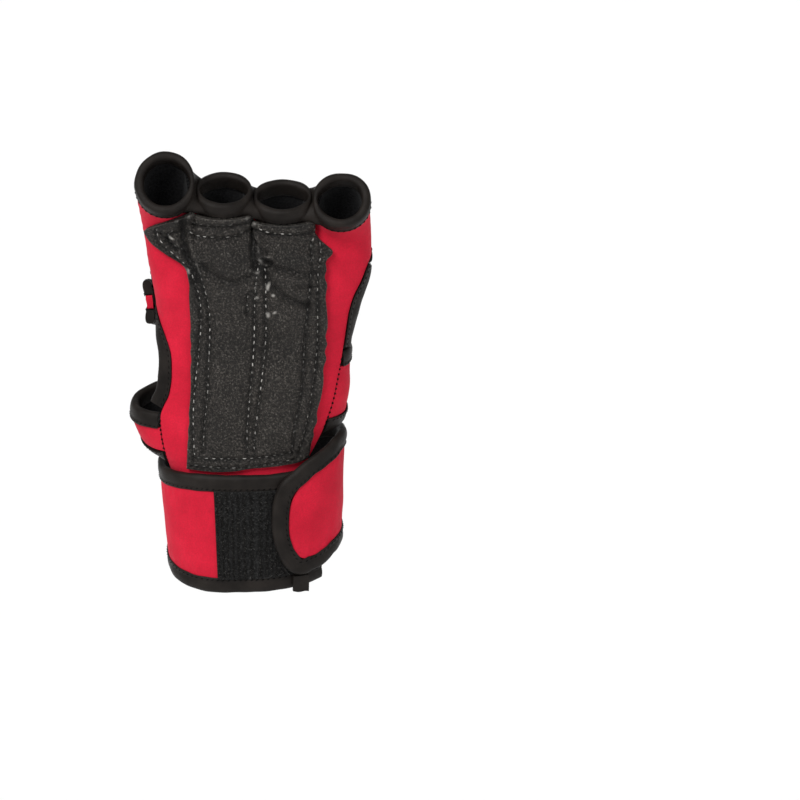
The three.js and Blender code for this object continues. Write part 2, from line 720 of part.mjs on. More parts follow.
function backStrap() {
  const rows = 2;
  const outer = [];
  const inner = [];
  const quads = [];
  const add = (turn, z, lift) => {
    const point = strapPoint(turn, z, lift);
    outer.push(point);
    inner.push(point.clone().addScaledVector(strapNormal(turn, z, lift), -WALL));
    return outer.length - 1;
  };
  const trunk = steps(0, 1, TRUNK_STEPS).map((share) => {
    const column = [];
    steps(0, 1, rows * 2).forEach((row) => {
      let turn = NEAR_SEAM_TURN.pinkySide * (1 - share) + FORK_TURN * share;
      let z = 0;
      for (let i = 0; i < 3; i += 1) {
        z = row <= 0.5 ? armHeight(turn, row * 2, false) : armHeight(turn, row * 2 - 1, true);
        turn = seamTurn(z, 'right') * (1 - share) + FORK_TURN * share;
      }
      column.push(add(turn, z, 0));
    });
    return column;
  });
  const arm = (first, upper) => {
    const columns = [first];
    const last = FORK_TURN + FORK_ROUND_TURN;
    steps(0, 90, 4).slice(1).forEach((a) => {
      const turn = last - FORK_ROUND_TURN * Math.cos(radians(a));
      const lift = armLift(turn, upper);
      columns.push(steps(0, 1, rows).map((row) => add(turn, armHeight(turn, row, upper), lift)));
    });
    steps(0, 1, ARM_STEPS).slice(1).forEach((share) => {
      columns.push(steps(0, 1, rows).map((row) => {
        let turn = last + (NEAR_SEAM_TURN.thumbSide - last) * share;
        for (let i = 0; i < 3; i += 1) {
          const end = upper ? UPPER_ARM_END_TURN : seamTurn(armHeight(turn, row, upper), 'left');
          turn = last + (end - last) * share;
        }
        return add(turn, armHeight(turn, row, upper), armLift(turn, upper));
      }));
    });
    return columns;
  };
  const fork = trunk[trunk.length - 1];
  const lower = arm(fork.slice(0, rows + 1), false);
  const upper = arm(fork.slice(rows), true);
  [trunk, lower, upper].forEach((columns) => {
    for (let c = 0; c < columns.length - 1; c += 1) {
      for (let r = 0; r < columns[c].length - 1; r += 1) {
        quads.push([columns[c][r], columns[c + 1][r], columns[c + 1][r + 1], columns[c][r + 1]]);
      }
    }
  });
  return mesh('back_strap', wall(outer, inner, quads), COLORS.red, 0.85);
}

function armLift(turn, upper) {
  return upper ? strapHeight(turn, 'lift') : 0;
}

// Tape with its middle line on a strap, given as rows of turn, height and lift.
// seams names the panel edge, left or right, that each end is cut to
function strapTape(name, course, seams) {
  const normals = course.map(([turn, z, lift]) => strapNormal(turn, z, lift));
  const points = course.map(([turn, z, lift], i) => {
    return strapPoint(turn, z, lift).addScaledVector(normals[i], -WALL / 2);
  });
  const across = acrossOf(points, normals);
  seams.forEach((side, end) => {
    if (side) {
      const i = end === 0 ? 0 : points.length - 1;
      const z = course[i][1];
      const high = strapPoint(seamTurn(z + TAPE_HALF_WIDTH, side), z + TAPE_HALF_WIDTH, 0);
      const low = strapPoint(seamTurn(z - TAPE_HALF_WIDTH, side), z - TAPE_HALF_WIDTH, 0);
      const cut = high.sub(low).divideScalar(2 * TAPE_HALF_WIDTH);
      across[i] = cut.dot(across[i]) < 0 ? cut.negate() : cut;
    }
  });
  const thickness = points.map(() => TAPE_HALF_THICKNESS);
  return mesh(name, tape(points, across, normals, TAPE_HALF_WIDTH, thickness, false), COLORS.tape, 0.9);
}

function acrossOf(points, normals) {
  return points.map((point, i) => {
    const before = points[Math.max(0, i - 1)];
    const after = points[Math.min(points.length - 1, i + 1)];
    return after.clone().sub(before).cross(normals[i]).normalize();
  });
}

function middleTape(points, normals) {
  const thickness = points.map(() => TAPE_HALF_THICKNESS);
  return tape(points, acrossOf(points, normals), normals, TAPE_HALF_WIDTH, thickness, false);
}

function backStrapBindings() {
  const half = TAPE_HALF_WIDTH;
  const near = NEAR_SEAM_TURN;
  const round = FORK_TURN + FORK_ROUND_TURN;
  const topStart = seamTurn(strapHeight(near.pinkySide, 'high') - half, 'right') + CRESCENT_ROOM_TURN;
  const top = [...steps(topStart, round, 9), ...steps(round, UPPER_ARM_END_TURN, ARM_STEPS).slice(1)];
  const bottomEnd = seamTurn(strapHeight(near.thumbSide, 'low') + half, 'left') - SEAM_ROOM_TURN;
  const bottomStart = seamTurn(strapHeight(near.pinkySide, 'low') + half, 'right') + SEAM_ROOM_TURN;
  const bottom = steps(bottomStart, bottomEnd, 22);
  return [
    strapTape('back_strap_top_binding', top.map((turn) => {
      return [turn, strapHeight(turn, 'high') - half, armLift(turn, true)];
    }), [null, null]),
    strapTape('back_strap_bottom_binding', bottom.map((turn) => {
      return [turn, strapHeight(turn, 'low') + half, 0];
    }), ['right', 'left']),
    strapTape('back_strap_fork_binding', forkCourse(), [null, 'left']),
  ];
}

// From the upper arm's end into the fork, round it and out along the lower arm
function forkCourse() {
  const half = TAPE_HALF_WIDTH;
  const round = FORK_TURN + FORK_ROUND_TURN;
  const reach = FORK_ROUND_TURN - (half + GAP) / BACK_MM_PER_DEGREE;
  const course = [];
  steps(UPPER_ARM_END_TURN, round, ARM_STEPS).slice(0, ARM_STEPS).forEach((turn) => {
    course.push([turn, forkMiddle(turn) + forkHalf(turn, half), armLift(turn, true)]);
  });
  steps(90, -90, 8).forEach((a) => {
    const turn = round - reach * Math.cos(radians(a));
    const z = forkMiddle(turn) + forkHalf(round, half) * Math.sin(radians(a));
    course.push([turn, z, 0]);
  });
  const seam = NEAR_SEAM_TURN.thumbSide;
  const end = seamTurn(forkMiddle(seam) - forkHalf(seam, half), 'left') - SEAM_ROOM_TURN;
  steps(round, end, 12).slice(1).forEach((turn) => {
    course.push([turn, forkMiddle(turn) - forkHalf(turn, half), 0]);
  });
  return course;
}

// Wrist strap surface by turn from the palm side towards the thumb side and on round
function wristPoint(turn, z, lift) {
  const point = sectionPoint(WRIST_ROWS, -turn, z);
  const flat = new THREE.Vector3(point.x - CENTRE_X, point.y * WRIST_LIFT_DEPTH_SHARE, 0).normalize();
  return point.addScaledVector(flat, lift);
}

function wristNormal(turn, z, lift) {
  const a = wristPoint(turn + 1, z, lift).sub(wristPoint(turn - 1, z, lift));
  const b = wristPoint(turn, z + 0.5, lift).sub(wristPoint(turn, z - 0.5, lift));
  return b.cross(a).normalize();
}

// Upper or lower outline of the wrist strap before its rounded end, drawn in square to itself by inset
function wristEdge(turn, upper, inset) {
  const sign = upper ? -1 : 1;
  const height = (at) => read(WRIST_COURSE, 'turn', at, upper ? 'high' : 'low');
  const at = height(turn);
  const run = wristPoint(turn + 1, at, wristLift(turn)).distanceTo(wristPoint(turn - 1, at, wristLift(turn)));
  const slant = Math.hypot(1, (height(turn + 1) - height(turn - 1)) / run);
  return at + sign * inset * slant;
}

function strapMiddle(turn) {
  return (read(WRIST_COURSE, 'turn', turn, 'low') + read(WRIST_COURSE, 'turn', turn, 'high')) / 2;
}

// Turn reached by going a length along the strap's upper layer from a turn
function turnAlong(turn, length) {
  const step = 0.2;
  let at = turn;
  let gone = 0;
  while (gone < length) {
    const here = wristPoint(at, strapMiddle(at), wristLift(at));
    at += step;
    gone += here.distanceTo(wristPoint(at, strapMiddle(at), wristLift(at)));
  }
  return at;
}

// Rounded end: share runs 0 to 1 along it and side -1 to 1 across it, on an outline drawn in by inset
function roundEnd(share, side, inset) {
  const turn = turnAlong(D_START_TURN, share * (D_LENGTH - inset));
  const low = wristEdge(D_START_TURN, false, inset);
  const high = wristEdge(D_START_TURN, true, inset);
  const drift = strapMiddle(turn) - strapMiddle(D_START_TURN);
  return [turn, (low + high) / 2 + drift + (side * (high - low)) / 2];
}

function wristLift(turn) {
  return read(WRIST_COURSE, 'turn', turn, 'lift');
}

function wristStrap() {
  const inset = 2 * TAPE_HALF_WIDTH + GAP + TAPE_ROOM;
  const columns = steps(STRAP_START_TURN, D_START_TURN, WRIST_STEPS).map((turn) => {
    return [[turn, wristEdge(turn, false, inset)], [turn, wristEdge(turn, true, inset)]];
  });
  D_ROUND_SHARES.forEach((share) => {
    const side = Math.pow(1 - Math.pow(share, D_POWER), 1 / D_POWER);
    const drawn = inset + D_ROOM * share;
    columns.push([roundEnd(share, -side, drawn), roundEnd(share, side, drawn)]);
  });
  const rows = WRIST_ROW_STEPS;
  const outer = [];
  const inner = [];
  steps(0, 1, rows).forEach((r) => {
    columns.forEach(([low, high]) => {
      const turn = low[0];
      const z = low[1] + (high[1] - low[1]) * r;
      const lift = wristLift(turn);
      const point = wristPoint(turn, z, lift);
      const normal = wristNormal(turn, z, lift);
      outer.push(point);
      inner.push(point.clone().addScaledVector(normal, -WALL));
    });
  });
  const geometry = wall(outer, inner, gridQuads(rows + 1, columns.length, true));
  return mesh('wrist_strap', geometry, COLORS.red, 0.85);
}

function wristStrapBinding() {
  const inset = TAPE_HALF_WIDTH;
  const count = WRIST_STEPS - 2;
  const straight = steps(STRAP_START_TURN, D_START_TURN, count).slice(0, count);
  const course = [];
  straight.forEach((turn) => course.push([turn, wristEdge(turn, true, inset)]));
  steps(90, -90, D_TAPE_STEPS).forEach((a) => {
    const s = Math.sin(radians(a));
    const share = Math.pow(Math.max(0, Math.cos(radians(a))), 2 / D_POWER);
    course.push(roundEnd(share, Math.sign(s) * Math.pow(Math.abs(s), 2 / D_POWER), inset));
  });
  straight.slice().reverse().forEach((turn) => course.push([turn, wristEdge(turn, false, inset)]));
  const points = [];
  const normals = [];
  course.forEach(([turn, z]) => {
    const lift = wristLift(turn);
    const normal = wristNormal(turn, z, lift);
    points.push(wristPoint(turn, z, lift).addScaledVector(normal, -WALL / 2));
    normals.push(normal);
  });
  return mesh('wrist_strap_binding', middleTape(points, normals), COLORS.tape, 0.9);
}

function wristPatch(name, turns, heights, from, to, color) {
  const outer = [];
  const inner = [];
  heights.forEach((heightOf) => {
    turns.forEach((turn) => {
      const z = heightOf(turn);
      const normal = wristNormal(turn, z, 0);
      const point = wristPoint(turn, z, 0);
      outer.push(point.clone().addScaledVector(normal, to));
      inner.push(point.clone().addScaledVector(normal, from));
    });
  });
  const geometry = wall(outer, inner, gridQuads(heights.length, turns.length, true));
  return mesh(name, geometry, color, 1);
}

function loopField() {
  const inset = 2 * TAPE_HALF_WIDTH + 2 * GAP;
  const heights = steps(0, 1, 4).map((r) => (turn) => {
    const low = wristEdge(turn, false, inset);
    return low + (wristEdge(turn, true, inset) - low) * r;
  });
  const turns = steps(LOOP_FIELD_TURNS.from, LOOP_FIELD_TURNS.to, 10);
  return wristPatch('loop_field', turns, heights, GAP, GAP + LOOP_THICKNESS, COLORS.loop);
}

function bindingTail() {
  const heights = steps(0, 1, 2).map((r) => () => TAIL.low + (TAIL.high - TAIL.low) * r);
  const turns = steps(TAIL.fromTurn - 360, TAIL.toTurn - 360, 2);
  return wristPatch('binding_tail', turns, heights, TAIL.lift, TAIL.lift + TAIL_THICKNESS, COLORS.tape);
}

// The given ends with the rows between them and one step between each two
function between(rows, from, to) {
  const inside = rows.filter((z) => z > from + 1 && z < to - 1);
  const marks = [from, ...inside, to];
  return marks.flatMap((z, i) => (i === 0 ? [z] : [(marks[i - 1] + z) / 2, z]));
}

function buildGlove() {
  const glove = new THREE.Group();
  glove.name = 'weightlifting_glove';
  const belowBand = BAND_FOOT.thumbSide - 2 * TAPE_HALF_WIDTH - 2 * GAP - TAPE_ROOM;
  const panelRows = steps(PANEL_FOOT_Z, KNUCKLE_Z, PANEL_BODY_ROWS);
  glove.add(palmPanel());
  glove.add(fingerBackBand());
  glove.add(gripPad());
  FINGERS.forEach((finger, i) => glove.add(fingerBinding(finger, i)));
  glove.add(sideBinding('thumb_binding', -1, between(panelRows, THUMB_TAPE_FOOT_Z, belowBand)));
  const pinkyRows = between(panelRows, PINKY_SIDE_TAPE.low, PINKY_SIDE_TAPE.high);
  glove.add(sideBinding('pinky_side_binding', 1, pinkyRows));
  glove.add(backEdgeBinding());
  glove.add(backStrap());
  backStrapBindings().forEach((node) => glove.add(node));
  glove.add(wristStrap());
  glove.add(wristStrapBinding());
  glove.add(loopField());
  glove.add(bindingTail());
  return glove;
}

const group = buildGlove();
export default group;
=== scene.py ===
import math

import bpy
import numpy as np
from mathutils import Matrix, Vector
from mathutils.bvhtree import BVHTree


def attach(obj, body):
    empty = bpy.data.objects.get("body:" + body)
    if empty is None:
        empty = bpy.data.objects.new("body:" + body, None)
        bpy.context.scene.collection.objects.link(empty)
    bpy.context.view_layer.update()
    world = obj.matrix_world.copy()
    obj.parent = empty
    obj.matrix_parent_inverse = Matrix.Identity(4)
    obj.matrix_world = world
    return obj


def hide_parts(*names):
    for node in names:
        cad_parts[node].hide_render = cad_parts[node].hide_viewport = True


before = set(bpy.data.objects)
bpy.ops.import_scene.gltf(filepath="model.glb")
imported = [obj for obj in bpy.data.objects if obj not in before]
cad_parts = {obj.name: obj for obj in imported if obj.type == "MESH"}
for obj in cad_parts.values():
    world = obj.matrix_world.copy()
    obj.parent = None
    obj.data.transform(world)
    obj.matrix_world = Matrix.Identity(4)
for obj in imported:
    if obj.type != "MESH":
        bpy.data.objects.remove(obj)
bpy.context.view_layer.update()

# The glove's own sizes, in millimetres and degrees; most repeat the part's source
MM = 0.001
UV_PER_MM = 0.01
WALL = 2.6
GAP = 0.3
TAPE_ROOM = 0.34
STRAP_ROOM = 0.45
TAPE_HALF_THICKNESS = 1.7
TAPE_HALF_WIDTH = 2.8
WEB_TAPE_HALF_THICKNESS = 0.9
FULL_CORNER = 0.85
KNUCKLE_Z = 138.0
PANEL_FOOT_Z = 41.0
LOOP_TOP_H = 168.0
SECTION_POWER = 0.8
CENTRE_X = 1.5
PAD_THICKNESS = 1.7
PAD_LIFT = 0.35
BAND_FOOT_THUMB = 127.0
BAND_FOOT_PINKY = 136.6
THUMB_TAPE_Z = (76.6, 120.46)
PINKY_SIDE_TAPE_Z = (98.2, 131.3)
BACK_TAPE_COLUMNS = (0.012, 0.978)
BACK_MM_PER_DEGREE = 0.6
FORK_TURN = 176.0
FORK_ROUND_TURN = 12.0
UPPER_ARM_END_TURN = 268.0
STRAP_SEAM_TURNS = (66, 300)
SEAM_ROOM_TURN = 1.3
CRESCENT_ROOM_TURN = 1.5
STRAP_START_TURN = -54.0
D_START_TURN = 325.0
D_LENGTH = 17.6
D_POWER_ABOVE = 2.6
D_POWER_BELOW = 2.0
D_ROOM = 0.6
LOOP_FIELD_TURNS = (-44.0, 20.5)
LOOP_THICKNESS = 0.7
PILE_ROWS = 22
TAIL_TURNS = (325.0, 338.0)
TAIL_Z = (1.4, 8.2)
VIEW_DOWN = 20
SEEN_TILT = math.tan(math.radians(VIEW_DOWN))
WEB_PART = 1 / 6
WEB_CLOTH = 0.9


def table(names, rows):
    """Rows of numbers as a dictionary of named columns."""
    return {n: np.array([r[i] for r in rows], float) for i, n in enumerate(names.split())}


FORM = table("z left right front back", [
    (38, -33.2, 32.6, -22.9, 21.6),
    (46, -34.2, 33.2, -22.6, 21.5),
    (51, -37.2, 33.2, -21.9, 20.6),
    (56, -43.0, 33.4, -21.4, 19.6),
    (62, -46.6, 34.0, -21.0, 18.6),
    (69, -48.6, 36.8, -20.8, 17.6),
    (78, -46.8, 38.4, -20.2, 16.8),
    (90, -42.8, 38.9, -18.9, 16.0),
    (101, -39.2, 39.6, -17.4, 15.4),
    (112, -38.2, 43.0, -17.0, 15.0),
    (124, -39.8, 46.4, -17.4, 14.8),
    (134, -41.6, 47.4, -16.4, 14.6),
    (140, -42.3, 47.4, -15.4, 14.4),
])
PANEL_EDGES = table("z left right", [
    (38, -31.0, 18.6),
    (46, -32.4, 19.2),
    (54, -34.4, 21.8),
    (64, -36.2, 27.0),
    (72, -36.6, 30.2),
    (77, -35.0, 31.8),
    (81, -33.2, 32.8),
    (86, -32.3, 33.8),
    (93, -32.0, 35.2),
    (98, -32.5, 36.0),
    (103, -34.2, 36.8),
    (109, -36.6, 37.6),
    (115, -38.6, 38.6),
    (121, -40.0, 40.4),
    (127, -41.2, 43.4),
    (133, -43.0, 46.0),
    (137, -43.0, 48.0),
    (140, -43.0, 48.0),
])
FINGERS = [
    dict(name="index", x=-33.97, y=-10.0, z=167.8, half_width=10.5, half_depth=11.5, tilt=40),
    dict(name="middle", x=-11.0, y=-6.5, z=162.4, half_width=10.35, half_depth=9.5, tilt=68),
    dict(name="ring", x=12.3, y=-6.0, z=159.4, half_width=10.85, half_depth=9.5, tilt=70),
    dict(name="pinky", x=35.4, y=-10.0, z=160.4, half_width=10.1, half_depth=10.0, tilt=44),
]
WEB_X = [-22.4, 0.4, 24.2]
PAD_EDGES = table("h left right", [
    (48, -25.8, 20.8),
    (60, -25.6, 22.6),
    (75, -24.8, 25.6),
    (95, -24.0, 28.4),
    (115, -24.2, 29.4),
    (128, -24.6, 29.2),
    (132, -25.2, 29.0),
    (135.6, -27.4, 29.2),
    (139, -33.0, 30.4),
    (144, -38.0, 31.8),
    (148, -40.4, 30.2),
    (153, -42.0, 27.0),
    (158, -42.4, 25.0),
    (168, -42.4, 24.2),
])
PAD_ENDS = table("across foot top", [
    (0.0, 51.2, 152.0),
    (0.07, 51.0, 160.0),
    (0.15, 50.8, 166.6),
    (0.24, 50.8, 167.2),
    (0.275, 50.7, 163.6),
    (0.31, 50.7, 167.2),
    (0.36, 50.7, 168.0),
    (0.56, 51.2, 168.0),
    (0.605, 51.6, 167.0),
    (0.638, 51.9, 163.6),
    (0.67, 52.2, 167.0),
    (0.71, 52.6, 168.0),
    (0.93, 54.5, 168.0),
    (1.0, 56.0, 164.6),
])
BACK_STRAP = table("turn low fork_low fork_high high lift", [
    (55, 64.4, 82.0, 82.0, 97.4, 0.0),
    (90, 64.6, 82.4, 82.4, 97.4, 0.0),
    (135, 65.0, 83.0, 83.0, 99.4, 0.0),
    (180, 63.6, 82.6, 85.6, 104.6, 0.0),
    (212, 60.6, 79.6, 94.0, 112.8, 0.8),
    (232, 57.6, 77.4, 99.8, 117.8, 2.9),
    (247, 55.4, 75.6, 102.8, 120.8, 4.1),
    (262, 53.2, 74.2, 105.0, 123.0, 4.1),
    (290, 50.8, 73.0, 105.4, 123.4, 3.6),
    (330, 50.6, 73.4, 105.4, 123.4, 3.6),
])
WRIST = table("z left right front back", [
    (0, -33.6, 31.6, -26.4, 24.6),
    (12, -34.6, 32.2, -26.4, 24.8),
    (28, -35.9, 32.8, -26.4, 25.0),
    (40, -37.0, 33.2, -26.3, 25.0),
    (50, -38.2, 33.4, -26.2, 25.0),
    (60, -39.0, 34.0, -25.4, 24.2),
    (68, -39.6, 34.6, -24.8, 23.4),
])
WRIST_COURSE = table("turn low high lift", [
    (-56, 3.6, 52.6, 0.0),
    (-30, 2.6, 51.8, 0.0),
    (0, 0.8, 50.4, 0.0),
    (30, 0.0, 49.8, 0.0),
    (60, 1.4, 48.8, 0.0),
    (90, 4.0, 48.0, 0.0),
    (135, 5.6, 50.0, 0.0),
    (180, 8.6, 53.4, 0.0),
    (225, 14.0, 57.6, 0.2),
    (262, 16.0, 62.0, 1.8),
    (285, 16.0, 64.0, 3.8),
    (300, 14.6, 63.7, 4.7),
    (308, 12.6, 61.8, 4.6),
    (316, 10.9, 60.1, 4.4),
    (325, 9.7, 58.0, 4.3),
    (338, 5.6, 55.6, 4.3),
    (352, 7.0, 57.0, 4.3),
])

# Grip pad's details are placed by x and seen height v, which is z + SEEN_TILT * y: the height at
# which a point shows in the photograph's view. Folds are given as depth, width and line
STITCH_ROWS = {
    "left_outer": [(-24, 126.8), (-21.8, 120.8), (-20.4, 114), (-20.2, 105.1), (-21, 95.3),
        (-21.8, 86.8), (-22.6, 80.4), (-23.3, 71.5), (-23.5, 60.4), (-23, 48.5)],
    "left_inner": [(-22.8, 131.9), (-21.2, 127.6), (-19.6, 123.4), (-17.3, 114), (-16.7, 107.2),
        (-16.8, 97.9), (-17.3, 87.7), (-17.8, 74.5), (-19.1, 61.3), (-19.6, 51.1)],
    "centre_left": [(3.2, 131.9), (2, 125.1), (1.2, 114.5), (1, 103.8), (0.6, 93.2), (-0.4, 80.8),
        (-1.4, 68.9), (-2.1, 59.6), (-1.8, 49.8)],
    "centre_right": [(5.3, 129.4), (5.6, 122.1), (5.6, 114.9), (5.6, 101.7), (5, 93.2), (3.6, 79.6),
        (2.2, 68.1), (1, 57.9), (0.6, 49.4)],
    "right_inner": [(23.4, 140), (23.7, 131.9), (23.3, 123.8), (22.2, 112.3), (21.3, 103), (20.7, 93.6),
        (19.8, 80), (18.4, 70.2), (16.6, 60), (15.4, 50.2)],
    "right_outer": [(26.6, 143), (27.4, 135.3), (26.4, 127.6), (26, 117.4), (26.1, 107.2), (25.8, 95.7),
        (24.5, 82.5), (22.8, 70.2), (20.4, 58.7), (18.2, 50.6)],
    "middle": [(-25.2, 144.7), (-22.4, 142.8), (-16.6, 141.9), (-9.2, 141.9), (-4.8, 143.2),
        (-2.4, 145.1)],
    "middle_top": [(-24, 148.3), (-19.2, 147), (-11.6, 146.6), (-6.4, 147.4), (-2.4, 149.1)],
    "ring_top": [(2.6, 149.6), (5.4, 148.3), (9.2, 147.7), (15.6, 147.4), (21, 147.9)],
    "ring": [(2, 145.9), (6, 144), (11.6, 143.2), (18.8, 143.3), (22.4, 144.2)],
    "wing_outer": [(-30.4, 150), (-33.2, 149.1), (-36.4, 147.6), (-37.6, 145.3), (-37.2, 142.5),
        (-35.9, 140), (-33.2, 136.8), (-30, 134), (-27.2, 131.3), (-25.2, 128.5)],
    "wing_inner": [(-30, 145.1), (-32.6, 143.6), (-33, 141.3), (-31.2, 138.9), (-28, 137.2),
        (-25.4, 135.5)],
    "bottom_upper": [(-23, 48.8), (-16.8, 48.4), (-9.2, 48.3), (-2.4, 48.4), (4.8, 49.1), (12, 50.3),
        (17, 51.4)],
    "bottom_lower": [(-24.2, 45.8), (-19.2, 45.1), (-12.8, 44.4), (-5.2, 44.5), (3.6, 45.4),
        (12.4, 47.1), (17.4, 48.6)],
    "centre_short": [(-1.3, 118.3), (-1.8, 114.5), (-1.9, 109.8)],
}
FAINT_ROWS = ("middle_top", "ring_top", "wing_inner", "bottom_lower", "right_inner")
FOLDS = [
    (1.35, 1.2, [(-0.4, 157), (-0.2, 148.9), (0.2, 141.3), (0.6, 134.5), (1.6, 129.4)]),
    (1.25, 1.2, [(-28, 153.2), (-27.4, 146.4), (-26.6, 140), (-25.2, 134.5),
                 (-23.2, 129.4), (-21.6, 124.2)]),
    (0.75, 1.3, [(-18.8, 130.2), (-14.9, 126.2), (-10, 123.9), (-4.8, 123.8), (0.2, 126.4)]),
    (0.95, 1.2, [(3.6, 130.2), (6.8, 123.8), (11.2, 118.9), (16, 115.7), (22, 113.8)]),
    (0.6, 1.1, [(6, 131.9), (10.4, 129.1), (15.6, 127.6), (21.2, 126.2), (25.2, 126.8)]),
    (0.75, 0.8, [(1.6, 140), (3.6, 137), (6.4, 134.9)]),
    (0.75, 0.8, [(2, 136.2), (4.4, 133.2), (7.6, 131.1)]),
    (0.4, 0.8, [(17.2, 122.1), (20.8, 120.8), (24.4, 121.3)]),
    (0.7, 0.9, [(-36, 144.7), (-32.8, 140.8), (-29.2, 137)]),
]
FILLED = table("x v across up height", [
    (-10.0, 133.6, 7.8, 7.8, 1.1),
    (14.6, 134.8, 7.2, 6.4, 0.9),
])
# Painted shade: darker zones of the leather, each given by centre, size and strength
SHADES = table("x v across up amount", [
    (-6.4, 132.4, 8.5, 7.5, 0.5),
    (16.0, 133.6, 6.5, 5.5, 0.45),
    (-19.6, 122.0, 1.6, 12.0, 0.5),
    (-3.0, 97.5, 21.0, 8.0, 0.34),
])
SCUFFS = table("x v across up slant", [
    (6.6, 121.7, 1.9, 0.7, 70),
    (2.0, 117.0, 0.8, 0.6, 0),
    (6.4, 109.8, 1.3, 0.8, 80),
    (9.0, 111.1, 1.0, 0.5, 40),
    (8.4, 118.1, 0.7, 0.5, 0),
    (1.4, 120.8, 0.9, 0.4, 80),
    (-31.5, 142.5, 1.4, 0.5, 150),
    (-24.5, 128.0, 1.2, 0.4, 110),
    (23.8, 141.0, 0.9, 0.6, 60),
])


def hermite(p0, m0, p1, m1, t):
    t2, t3 = t * t, t * t * t
    ends = (2 * t3 - 3 * t2 + 1) * p0 + (3 * t2 - 2 * t3) * p1
    return ends + (t3 - 2 * t2 + t) * m0 + (t3 - t2) * m1


def read(tab, at, column):
    """Smooth reading of a table's column at values of its first column."""
    keys = next(iter(tab.values()))
    values = tab[column]
    at = np.clip(np.asarray(at, float), keys[0], keys[-1])
    last = len(keys) - 1
    i = np.clip(np.searchsorted(keys, at, side="left") - 1, 0, last - 1)
    before, after = np.maximum(i - 1, 0), np.minimum(i + 2, last)
    span = keys[i + 1] - keys[i]
    m0 = (values[i + 1] - values[before]) / (keys[i + 1] - keys[before]) * span
    m1 = (values[after] - values[i]) / (keys[after] - keys[i]) * span
    return hermite(values[i], m0, values[i + 1], m1, (at - keys[i]) / span)


def power(v):
    return np.sign(v) * np.abs(v) ** SECTION_POWER


def section(tab, angle, z):
    """Points of level sections: angle 0 is the palm side, 90 the little-finger side."""
    angle, z = np.broadcast_arrays(np.asarray(angle, float), np.asarray(z, float))
    s, c = power(np.sin(np.radians(angle))), power(np.cos(np.radians(angle)))
    edge = np.where(s < 0, read(tab, z, "left"), read(tab, z, "right"))
    depth = np.where(c < 0, read(tab, z, "back"), read(tab, z, "front"))
    return np.stack([CENTRE_X + np.abs(s) * (edge - CENTRE_X), np.abs(c) * depth, z], -1)


def angle_at_x(x, z):
    """Angle at which the hand's form has the given x."""
    x, z = np.broadcast_arrays(np.asarray(x, float), np.asarray(z, float))
    edge = np.where(x < CENTRE_X, read(FORM, z, "left"), read(FORM, z, "right"))
    share = np.clip((x - CENTRE_X) / (edge - CENTRE_X), 0, 1)
    angle = np.degrees(np.arcsin(share ** (1 / SECTION_POWER)))
    return np.where(x < CENTRE_X, -angle, angle)


def panel_angle(z, side):
    """Angle of the palm panel's left or right edge at a height."""
    return angle_at_x(read(PANEL_EDGES, z, side), z)


MARKS = np.array([-90.0, *[float(angle_at_x(x, KNUCKLE_Z)) for x in WEB_X], 90.0])


def knuckle_angle(u):
    """Angle of a column at the knuckles, a quarter of the columns for each finger."""
    i = np.clip(np.floor(u * 4).astype(int), 0, 3)
    return MARKS[i] + (MARKS[i + 1] - MARKS[i]) * (u * 4 - i)


def unit(v):
    return v / np.maximum(np.linalg.norm(v, axis=-1, keepdims=True), 1e-9)


def opening(finger):
    """Axis, rise and rim centre of a finger opening."""
    tilt = math.radians(finger["tilt"])
    axis = np.array([0, -math.cos(tilt), math.sin(tilt)])
    rise = np.array([0, math.sin(tilt), math.cos(tilt)])
    centre = np.array([finger["x"], finger["y"], finger["z"]])
    return axis, rise, centre - axis * (TAPE_HALF_WIDTH + GAP)


def lobe(i, part, side, fill):
    """Rim of one finger's opening on the palm (side -1) or the back (side 1)."""
    finger = FINGERS[i]
    _, rise, centre = opening(finger)
    turn = np.radians(180 - 180 * part)
    web = WALL + GAP / 2
    start, end = (GAP / 2 if i == 0 else web), (GAP / 2 if i == 3 else web)
    edge = start + (end - start) * part
    bulge = fill + (1 - fill) * np.sin(turn)
    up = edge + (finger["half_depth"] + WALL / 2 - edge) * bulge
    left = WALL / 2 if i == 0 else WEB_TAPE_HALF_THICKNESS
    right = WALL / 2 if i == 3 else WEB_TAPE_HALF_THICKNESS
    c = np.cos(turn)
    point = centre + rise * (side * up)[..., None]
    point[..., 0] += (finger["half_width"] + np.where(c < 0, left, right)) * c
    return point


def web_point(a, b, side, fill):
    """Where the rims of two neighbouring fingers meet."""
    point = (lobe(a, np.array(1.0), side, fill) + lobe(b, np.array(0.0), side, fill)) / 2
    for i in (a, b):
        axis, _, centre = opening(FINGERS[i])
        point = point - axis * max(0.0, float((point - centre) @ axis))
    return point


def rim(u, side, fill):
    """Rim points and finger axes; near a web both run straight to the web's own point."""
    u = np.asarray(u, float)
    points, axes = np.zeros(u.shape + (3,)), np.zeros(u.shape + (3,))
    which = np.clip(np.floor(u * 4).astype(int), 0, 3)
    for i in range(4):
        part = u * 4 - i
        axis = opening(FINGERS[i])[0]
        low = WEB_PART if i > 0 else 0.0
        high = 1 - WEB_PART if i < 3 else 1.0
        clipped = np.clip(part, low, high)
        p = lobe(i, clipped, side, fill)
        a = np.broadcast_to(axis, p.shape)
        for near, share in ((i - 1, (low - part) / WEB_PART), (i, (part - high) / WEB_PART)):
            if 0 <= near < 3:
                s = np.clip(share, 0, 1)[..., None]
                web = web_point(near, near + 1, side, fill)
                both = unit(opening(FINGERS[near])[0] + opening(FINGERS[near + 1])[0])
                p = p * (1 - s) + web * s
                a = a * (1 - s) + both * s
        here = (which == i)[..., None]
        points, axes = np.where(here, p, points), np.where(here, unit(a), axes)
    return points, axes


# Finger loops: the drop that gives their first direction, and how strongly the rim pulls
LOOP_START_STEP = 4
LOOP_END_PULL = 0.9


